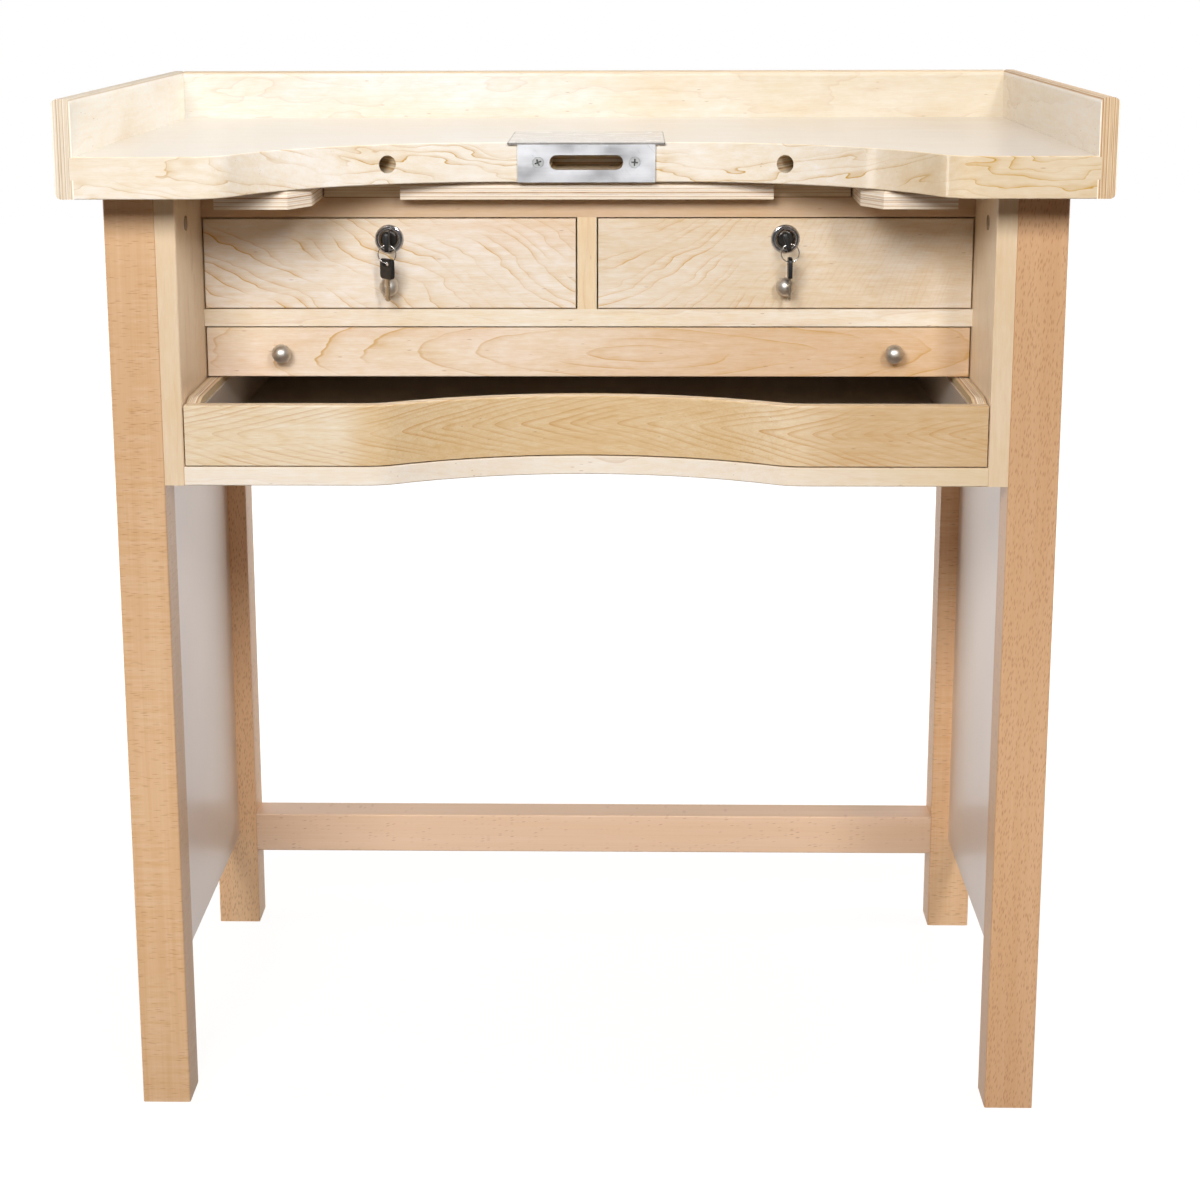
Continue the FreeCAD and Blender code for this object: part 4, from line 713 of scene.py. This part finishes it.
# beech frame: straight grain with the small brown rays of the wood
beech = {
    "pale": "dcb68d",
    "warm": "cfa377",
    "ray": "8a5a36",
    "rays": 0.3,                    # how many of them show
    "raySize": (260, 90, 850),      # rays in a metre along the grain, along the rays and across both
    "rayStrength": 0.5,
    "lean": 0,                      # how far the rays lean over
    "flake": 1,                     # share of them left where a face shows their broad sides
    "ripple": 0.0,                  # short waves of light and dark across the grain
    "streaks": 0.08,                # thin streaks along it
    "gloss": {"Specular IOR Level": 0.45, "Coat Weight": 0.08, "Coat Roughness": 0.3},
    "depth": 0.00005,
}
# how often each pattern changes in a metre: along the grain, along the rays and across both
beechSizes = {
    "rings": (0.9, 45, 30),
    "tone": (3, 9, 9),
    "streaks": (7, 520, 520),
    "ripple": (260, 14, 22),
    "rippled": (12, 40, 40),        # stretches that have a ripple at all
    "sway": (30, 30, 30),
    "crowd": (11, 30, 30),
}


# along is the way the wood grew, out the way its rays run
def beechWood(piece, along, out, changes):
    look = {**beech, **changes}
    finish = Finish(piece + " beech", look["gloss"])
    place = dict(zip("xyz", finish.place()))
    third = thirdAxis(along, out)
    u, v, w = spot = place[along], place[out], place[third]
    seed = look["seed"] * 5.1
    rings = finish.grain(spot, beechSizes["rings"], seed, detail=3, rough=0.6)
    tone = finish.grain(spot, beechSizes["tone"], seed)
    colour = finish.mix(rings.step(0.34, 0.7) * 0.5 + tone * 0.2, look["pale"], look["warm"])
    streaks = finish.grain(spot, beechSizes["streaks"], seed) - 0.5
    ripple = finish.grain(spot, beechSizes["ripple"], seed, detail=3, rough=0.65) - 0.5
    ripple = ripple * finish.grain(spot, beechSizes["rippled"], seed, detail=1).step(0.3, 0.6)
    colour = finish.tone(colour, streaks * look["streaks"] * 2 + ripple * look["ripple"] + (tone - 0.5) * 0.1)
    # the rays lean a little, and crowd together here and there
    tall, deep, wide = look["raySize"]
    sway = finish.grain(spot, beechSizes["sway"], seed, detail=1) - 0.5
    far, odds = finish.scatter(u * tall + seed, v * deep, (w + sway * 0.004 + u * look["lean"]) * wide)
    crowd = finish.grain(spot, beechSizes["crowd"], seed, detail=1) - 0.5
    rays = (1 - far.step(0.1, 0.5)) * (odds + crowd * 0.5).step(0.95 - look["rays"], 1.1 - look["rays"])
    broad = finish.facing()["xyz".index(third)].size()
    rays = rays * (1 - broad * (1 - look["flake"]))
    finish.set("Base Color", finish.mix(rays * look["rayStrength"], colour, look["ray"]))
    finish.set("Roughness", 0.44 + tone * 0.1 - rays * 0.08)
    finish.relief(streaks - rays * 0.2, look["depth"])
    finish.give(piece)


flatSawn = {"rays": 0.85, "raySize": (135, 60, 700), "lean": -0.12, "flake": 0.4, "ray": "9a5c34"}
quarterSawn = {"raySize": (900, 90, 85), "ripple": 0.5, "ray": "a0602c"}
# painted light: the rear legs and the stretcher are paler copies of the beech, standing in for light that
# reaches them
rearPaintedLight = {"pale": "f5cca0", "warm": "e8b98b"}
beechWood("front_left_leg", "z", "x", {**quarterSawn, "seed": 1})
beechWood("front_right_leg", "z", "y", {**flatSawn, "seed": 2, "pale": "d9b087", "warm": "cc9c70"})
beechWood("rear_left_leg", "z", "y", {**flatSawn, "seed": 3, **rearPaintedLight})
beechWood("rear_right_leg", "z", "x", {**quarterSawn, "seed": 4, **rearPaintedLight})
# the stretcher's paler colour is painted light as well
beechWood("rear_stretcher", "x", "y", {**flatSawn, "rays": 0.12, "seed": 5, "pale": "f0cfb2", "warm": "e4be9a"})
beechWood("frame_dowels", "y", "x", {"seed": 6})


# side panels: pale board with a thin satin film
sidePanels = {
    "front": "f0e0d9",
    # the rear tone is warmer, and paler as painted light that makes up for the shade under the cabinet
    "rear": "fdecdc",
    "turn": (-0.2, 0.2),        # where the front tone turns into the rear one
    "cloud": "e4d6d0",
    "cloudSize": (3, 2, 1),
    "fibreSize": (260, 18, 260),
    "gloss": {"Specular IOR Level": 0.5, "Coat Weight": 0.3, "Coat Roughness": 0.25},
    "depth": 0.00005,
}


def sidePanel(piece, seed):
    finish = Finish(piece + " board", sidePanels["gloss"])
    x, y, z = finish.place()
    cloud = finish.grain((y, z, x), sidePanels["cloudSize"], seed)
    fibres = finish.grain((y, z, x), sidePanels["fibreSize"], seed) - 0.5
    colour = finish.mix(y.step(*sidePanels["turn"]), sidePanels["front"], sidePanels["rear"])
    colour = finish.mix(cloud.step(0.3, 0.7) * 0.4, colour, sidePanels["cloud"])
    finish.set("Base Color", finish.dim(colour, 1 + fibres * 0.05))
    finish.set("Roughness", 0.34 + cloud * 0.12)
    finish.relief(fibres, sidePanels["depth"])
    finish.give(piece)


sidePanel("left_side_panel", 3.1)
sidePanel("right_side_panel", 8.4)
print("base finished")


# metals
plainMetal = {
    "along": "y",       # which way it was brushed or drawn
    "worn": 0.0,        # how scratched it is
    "depth": 0.00001,
    "metal": 1.0,       # below 1 where a dull skin covers it
    "smears": 0.1,
    "brush": 0.16,
    "strokeSize": (30, 2600, 2600),
    "smearSize": (25, 40, 40),
    "scratchSize": (700, 22),       # across a scratch and along it
    "scratchEdge": (0.002, 0.012),
    "scratchedSize": (90, 90, 90),
    "scratched": 0.6,               # the lower, the more of the sheet is scratched
}
metals = {
    "plate": {"colour": "d5d7dc", "rough": 0.4, "along": "x", "worn": 1.0, "depth": 0.00003,
              "metal": 0.85, "smears": 0.24},
    "cover": {"colour": "e0dcd9", "rough": 0.26, "along": "x", "worn": 0.12, "smears": 0.05, "brush": 0.05},
    "knob": {"colour": "cbc6bf", "rough": 0.42, "along": "z", "depth": 0.00003},
    "chrome": {"colour": "bdbdc0", "rough": 0.12},
    "core": {"colour": "55534f", "rough": 0.28},
    "ring": {"colour": "c4c4c2", "rough": 0.16},
    "screw": {"colour": "dde0e0", "rough": 0.34, "along": "x"},
    "cam": {"colour": "b5b3ae", "rough": 0.2, "depth": 0.00002},
    "blade": {"colour": "bdb09b", "rough": 0.25, "along": "z"},
    "liner": {"colour": "cdc2b8", "rough": 0.4, "along": "z", "worn": 0.4, "depth": 0.00003,
              "metal": 0.15, "smears": 0.15},
}


def brushedMetal(name, kind):
    look = {**plainMetal, **metals[kind]}
    finish = Finish(name, {"Metallic": look["metal"]})
    place = dict(zip("xyz", finish.place()))
    u = place[look["along"]]
    v, w = [place[a] for a in "xyz" if a != look["along"]]
    strokes = finish.grain((u, v, w), look["strokeSize"]) - 0.5
    smear = (finish.grain((u, v, w), look["smearSize"], detail=3) - 0.5) * (look["smears"] * 2)
    # a scratch is where a long thin noise crosses its middle
    thin, long = look["scratchSize"]
    slanted = finish.noise((u + v * 0.8 + w * 0.8) * thin, (u - v - w) * long, 3.7, detail=1)
    scratched = finish.grain((u, v, w), look["scratchedSize"], detail=1).over(look["scratched"])
    scratch = (1 - (slanted - 0.5).size().step(*look["scratchEdge"])) * scratched * look["worn"]
    change = strokes * look["brush"] + smear - scratch * 0.3
    finish.set("Base Color", finish.dim(shade(look["colour"]), 1 + change))
    finish.set("Roughness", look["rough"] + smear + strokes * 0.1)
    finish.relief(strokes - scratch, look["depth"])
    return finish


for name, kind, pieces in (
    ("brushed aluminium plate", "plate", ("pin_front_plate",)),
    ("brushed nickel", "knob", ("left_drawer_knob", "right_drawer_knob", "wide_drawer_knobs")),
    ("lock chrome", "chrome", ("left_lock_housing", "right_lock_housing")),
    ("lock plug", "core", ("left_lock_plug", "right_lock_plug")),
    ("ring wire", "ring", ("left_key_ring", "right_key_ring")),
    ("cam zinc", "cam", ("cam_fittings",)),
    ("tray liner sheet", "liner", ("tray_liner",)),
):
    brushedMetal(name, kind).give(*pieces)


# the cover plate lies in a recess; a painted shadow line darkens its outline, at its sides and back
coverPlate = {"rim": (0.0014, 0.0007), "paintedShadow": "6b625a", "paintedShadowShare": 0.6}


def coverFinish():
    finish = brushedMetal("cover plate", "cover")
    x, y = finish.place()[:2]
    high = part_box("pin_top_plate")[1]
    start, full = coverPlate["rim"]
    # painted shadow: the outline at the sides and back is darkened where the gap of the recess lies in shade
    rim = y.step(high[1] - start, high[1] - full).most(x.size().step(high[0] - start, high[0] - full))
    finish.set("Base Color", finish.mix(rim * coverPlate["paintedShadowShare"], finish.colour(), coverPlate["paintedShadow"]))
    return finish


coverFinish().give("pin_top_plate")
print("metals finished")


# pieces made here: plates cut to outlines, turned pieces, and crosses cut in screw heads
sharpFrom = {"plate": 50, "turned": 35}     # edges that bend by more degrees stay sharp


def place(obj, matrix, body):
    obj.data.transform(matrix)
    scene.collection.objects.link(obj)
    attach(obj, body)


# the mesh of an object as its modifiers or its curve leave it
def settled(obj):
    scene.collection.objects.link(obj)
    bpy.context.view_layer.update()
    mesh = bpy.data.meshes.new_from_object(obj.evaluated_get(bpy.context.evaluated_depsgraph_get()))
    scene.collection.objects.unlink(obj)
    return mesh


def smoothed(mesh, degrees):
    for polygon in mesh.polygons:
        polygon.use_smooth = True
    mesh.set_sharp_from_angle(angle=math.radians(degrees))


def cutPlate(name, outlines, thickness, softness):
    curve = bpy.data.curves.new(name + "Outline", "CURVE")
    curve.dimensions = "2D"
    curve.fill_mode = "BOTH"
    curve.extrude = thickness / 2 - softness
    curve.bevel_depth = softness
    curve.bevel_resolution = 2
    curve.offset = -softness
    for points in outlines:
        spline = curve.splines.new("POLY")
        spline.points.add(len(points) - 1)
        for point, (a, b) in zip(spline.points, points):
            point.co = (a, b, 0, 1)
        spline.use_cyclic_u = True
    mesh = settled(bpy.data.objects.new(name + "Outline", curve))
    mesh.name = name
    smoothed(mesh, sharpFrom["plate"])
    return bpy.data.objects.new(name, mesh)


def roundedBox(left, bottom, right, top, radius, steps=6):
    points = []
    for cx, cy, start in ((right - radius, top - radius, 0), (left + radius, top - radius, 90),
                          (left + radius, bottom + radius, 180), (right - radius, bottom + radius, 270)):
        for n in range(steps + 1):
            angle = math.radians(start + 90 * n / steps)
            points.append((cx + radius * math.cos(angle), cy + radius * math.sin(angle)))
    return points


# a turned piece: profile points are (radius, height) from one end to the other
def turned(name, profile, count=48):
    shape = bmesh.new()
    ring = [(math.cos(math.tau * n / count), math.sin(math.tau * n / count)) for n in range(count)]
    rows = []
    for radius, height in profile:
        if radius == 0:
            rows.append([shape.verts.new((0, 0, height))] * count)
        else:
            rows.append([shape.verts.new((radius * a, radius * b, height)) for a, b in ring])
    for below, above in zip(rows, rows[1:]):
        for n in range(count):
            m = (n + 1) % count
            corners = [below[n], below[m], above[m], above[n]]
            shape.faces.new([c for i, c in enumerate(corners) if c not in corners[:i]])
    bmesh.ops.recalc_face_normals(shape, faces=shape.faces)
    mesh = bpy.data.meshes.new(name)
    shape.to_mesh(mesh)
    shape.free()
    smoothed(mesh, sharpFrom["turned"])
    return bpy.data.objects.new(name, mesh)


def carved(obj, cutters):
    for cutter in cutters:
        scene.collection.objects.link(cutter)
        cut = obj.modifiers.new("cut", "BOOLEAN")
        cut.operation = "DIFFERENCE"
        cut.solver = "EXACT"
        cut.object = cutter
    mesh = settled(obj)
    mesh.name = obj.name
    for cutter in cutters:
        bpy.data.objects.remove(cutter)
    obj.modifiers.clear()
    obj.data = mesh
    mesh.set_sharp_from_angle(angle=math.radians(sharpFrom["turned"]))
    return obj


# a tapered bar, wide at the top and narrow at the bottom
def taperedBar(name, length, width, depth, lift, taper=0.55):
    mesh = bpy.data.meshes.new(name)
    corners = []
    for height, share in ((lift, 1.0), (-depth, taper)):
        for a, b in ((-1, -1), (1, -1), (1, 1), (-1, 1)):
            corners.append((a * length * share / 2, b * width * (share + 1) / 4, height))
    sides = [(n, n + 4, (n + 1) % 4 + 4, (n + 1) % 4) for n in range(4)]
    mesh.from_pydata(corners, [], [(0, 1, 2, 3), (7, 6, 5, 4)] + sides)
    shape = bmesh.new()
    shape.from_mesh(mesh)
    bmesh.ops.recalc_face_normals(shape, faces=shape.faces)
    shape.to_mesh(mesh)
    shape.free()
    return bpy.data.objects.new(name, mesh)


# countersunk cross-head screws; each set is one mesh
screws = {
    "front": {"finish": "front zinc", "piece": "frontPlateScrews", "node": "front_plate_screws",
              "places": ((-0.049, -0.126, 0.98), (0.049, -0.126, 0.98)),
              "outward": (0, -1, 0), "head": 0.0059, "shank": 0.0025, "length": 0.03},
    "top": {"finish": "top zinc", "piece": "topPlateScrews", "node": "top_plate_screws",
            "places": ((-0.065, -0.102, 1.0), (0.065, -0.102, 1.0), (-0.065, 0.026, 1.0), (0.065, 0.026, 1.0)),
            "outward": (0, 0, 1), "head": 0.0034, "shank": 0.00175, "length": 0.018},
}
screwHead = {
    # shares of the head's radius: radius and depth of its face, rim and cone
    "profile": ((0.93, 0), (1, 0.09), (1, 0.14)),
    "cone": 0.75,
    "bar": (1.25, 0.26, 0.62),      # length, width and depth of a bar of the cross
    "tick": (1, 0.06, 0.06),        # and of the fine ticks between them
    "proud": 0.1,
    # painted shade around the head: where its dark ring begins and ends, as shares of the head's radius
    "rim": (0.8, 0.94),
    "rimEnd": 1.1,
    "turns": (0.4, 1.1),            # how the first screw is turned, and each next one more
    "deep": (0.0001, 0.0006),       # from where to where the cross grows dark with painted shade, in metres
    # colour of the painted shade in the cross and around the head
    "dark": "2e2f2f",
}


def crossScrew(name, look, turn):
    head, shank, length = look["head"], look["shank"], look["length"]
    face = [(head * radius, -head * depth) for radius, depth in screwHead["profile"]]
    stem = [(shank, -head * screwHead["cone"]), (shank, shank - length), (0, -length)]
    screw = turned(name, [(0, 0)] + face + stem)
    cutters = []
    for kind, start in (("bar", 0), ("tick", math.pi / 4)):
        size = [head * share for share in screwHead[kind]]
        for n in (0, 1):
            cutter = taperedBar("%s%d" % (kind, n), *size, head * screwHead["proud"])
            cutter.data.transform(Matrix.Rotation(turn + start + n * math.pi / 2, 4, "Z"))
            cutters.append(cutter)
    return carved(screw, cutters)


def screwSet(look):
    name = look["piece"]
    stand = Vector(look["outward"]).to_track_quat("Z", "Y").to_matrix().to_4x4()
    first, more = screwHead["turns"]
    whole = bmesh.new()
    for n, spot in enumerate(look["places"]):
        screw = crossScrew("%sPart%d" % (name, n), look, first + more * n)
        screw.data.transform(Matrix.Translation(spot) @ stand)
        whole.from_mesh(screw.data)
    mesh = bpy.data.meshes.new(name)
    whole.to_mesh(mesh)
    whole.free()
    mesh.set_sharp_from_angle(angle=math.radians(sharpFrom["turned"]))
    piece = bpy.data.objects.new(name, mesh)
    place(piece, Matrix.Identity(4), "bench_frame")
    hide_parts(look["node"])
    return piece


# painted shade: the cross and the ring around a screw head are darker than its face, standing in for shade in
# the recess and the gap
def screwFinish(look):
    finish = brushedMetal(look["finish"], "screw")
    axes = finish.place()
    out = [abs(part) for part in look["outward"]].index(1)
    level = look["places"][0][out]
    deep = ((axes[out] - level) * -look["outward"][out]).step(*screwHead["deep"])
    inner, outer = [look["head"] * share for share in screwHead["rim"]]
    end = look["head"] * screwHead["rimEnd"]
    # painted shade: the cross darkens with depth, and a ring darkens around each head
    dark = deep * 0.7
    for spot in look["places"]:
        a, b = [axes[n] - spot[n] for n in range(3) if n != out]
        edge = (a * a + b * b).calc("SQRT")
        dark = dark.most(edge.step(inner, outer) * (1 - edge.over(end)) * 0.35)
    finish.set("Base Color", finish.mix(dark, finish.colour(), screwHead["dark"]))
    return finish


for look in screws.values():
    screwFinish(look).give(screwSet(look))


# keys: a black moulded bow and a cut metal blade
keys = {
    "bow": 0.021,
    "bowThickness": 0.0044,
    "bowCorner": 0.004,
    "bowSoft": 0.0007,
    "slot": (0.0038, 0.009),
    "slotInset": 0.0036,
    "slotCorner": 0.0012,
    "blade": (0.023, 0.007),
    "bladeThickness": 0.002,
    "bladeSoft": 0.00018,
    "tip": (0.0015, 0.002),
    "cuts": (0.0011, 0.0019, 0.0006, 0.0015, 0.0009),
    "cutStart": 0.0035,                             # from the tip to the middle of the first cut
    "cutPitch": 0.0029,
    "cutHalf": (0.001, 0.0004),                     # half its width at the edge and at its bottom
    "groove": (0.017, 0.0012, 0.0006, 0.0004),      # length, width, depth and how far it stands out
    "groovePlace": (0.026, -0.0006, 0.001),
    "plastic": "0d0d0e",
    "plasticGrain": (900, 900, 900),
    "plasticDepth": 0.00006,
    "rubbed": "3a3937",
    "rubbedSize": (120, 120, 120),
}
keyInset = keys["slotInset"] + keys["slot"][0] / 2      # from the bow's edge to the ring in its slot


def plasticFinish():
    finish = Finish("key plastic", {"Specular IOR Level": 0.5})
    grainy = finish.grain(finish.place(), keys["plasticGrain"]) - 0.5
    rubbed = finish.grain(finish.place(), keys["rubbedSize"])
    finish.set("Base Color", finish.mix(rubbed.step(0.55, 0.8) * 0.25, keys["plastic"], keys["rubbed"]))
    finish.set("Roughness", 0.34 + rubbed * 0.14)
    finish.relief(grainy, keys["plasticDepth"])
    return finish


def bladeOutline():
    length, width = keys["blade"]
    half = width / 2
    start = keys["bow"] - keyInset - keys["bowCorner"] / 2
    end = keys["bow"] - keyInset + length
    tip, lift = keys["tip"]
    wide, narrow = keys["cutHalf"]
    points = [(start, -half), (end - tip, -half), (end, lift - half), (end, half - lift), (end - tip, half)]
    for n, cut in enumerate(keys["cuts"]):
        middle = end - keys["cutStart"] - n * keys["cutPitch"]
        points += [(middle + wide, half), (middle + narrow, half - cut),
                   (middle - narrow, half - cut), (middle - wide, half)]
    return points + [(start, half)]


def addKey(node, body, matrix, plastic, metal):
    half = keys["bow"] / 2
    slotWide, slotLong = keys["slot"]
    outline = roundedBox(-keyInset, -half, keys["bow"] - keyInset, half, keys["bowCorner"])
    slot = roundedBox(-slotWide / 2, -slotLong / 2, slotWide / 2, slotLong / 2, keys["slotCorner"])
    bow = cutPlate(node + "_bow", [outline, slot], keys["bowThickness"], keys["bowSoft"])
    blade = cutPlate(node + "_blade", [bladeOutline()], keys["bladeThickness"], keys["bladeSoft"])
    groove = taperedBar(node + "Groove", *keys["groove"])
    groove.data.transform(Matrix.Translation(keys["groovePlace"]))
    carved(blade, [groove])
    # an outline lies in X and Y; a key lies in Y and Z
    upright = Matrix(((0, 0, 1, 0), (1, 0, 0, 0), (0, 1, 0, 0), (0, 0, 0, 1)))
    place(bow, matrix @ upright, body)
    place(blade, matrix @ upright, body)
    plastic.give(bow)
    metal.give(blade)
    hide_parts(node)


plastic = plasticFinish()
bladeMetal = brushedMetal("key blade", "blade")
keyPlaces = (
    # piece, body, middle of the slot, turns in degrees
    ("left_key", "left_lock_core", (-0.205, -0.1197, 0.8989), ()),
    ("right_key", "right_lock_core", (0.205, -0.1197, 0.8989), ((-17, "Y"),)),
    ("left_spare_key", "left_spare", (-0.205, -0.1197, 0.8762), ((40, "Z"), (-90, "X"))),
    ("right_spare_key", "right_spare", (0.20842, -0.1197, 0.87704), ((-90, "X"),)),
)
for node, body, spot, turns in keyPlaces:
    matrix = Matrix.Translation(spot)
    for degrees, axis in turns:
        matrix = matrix @ Matrix.Rotation(math.radians(degrees), 4, axis)
    addKey(node, body, matrix, plastic, bladeMetal)
print("screws and keys made")
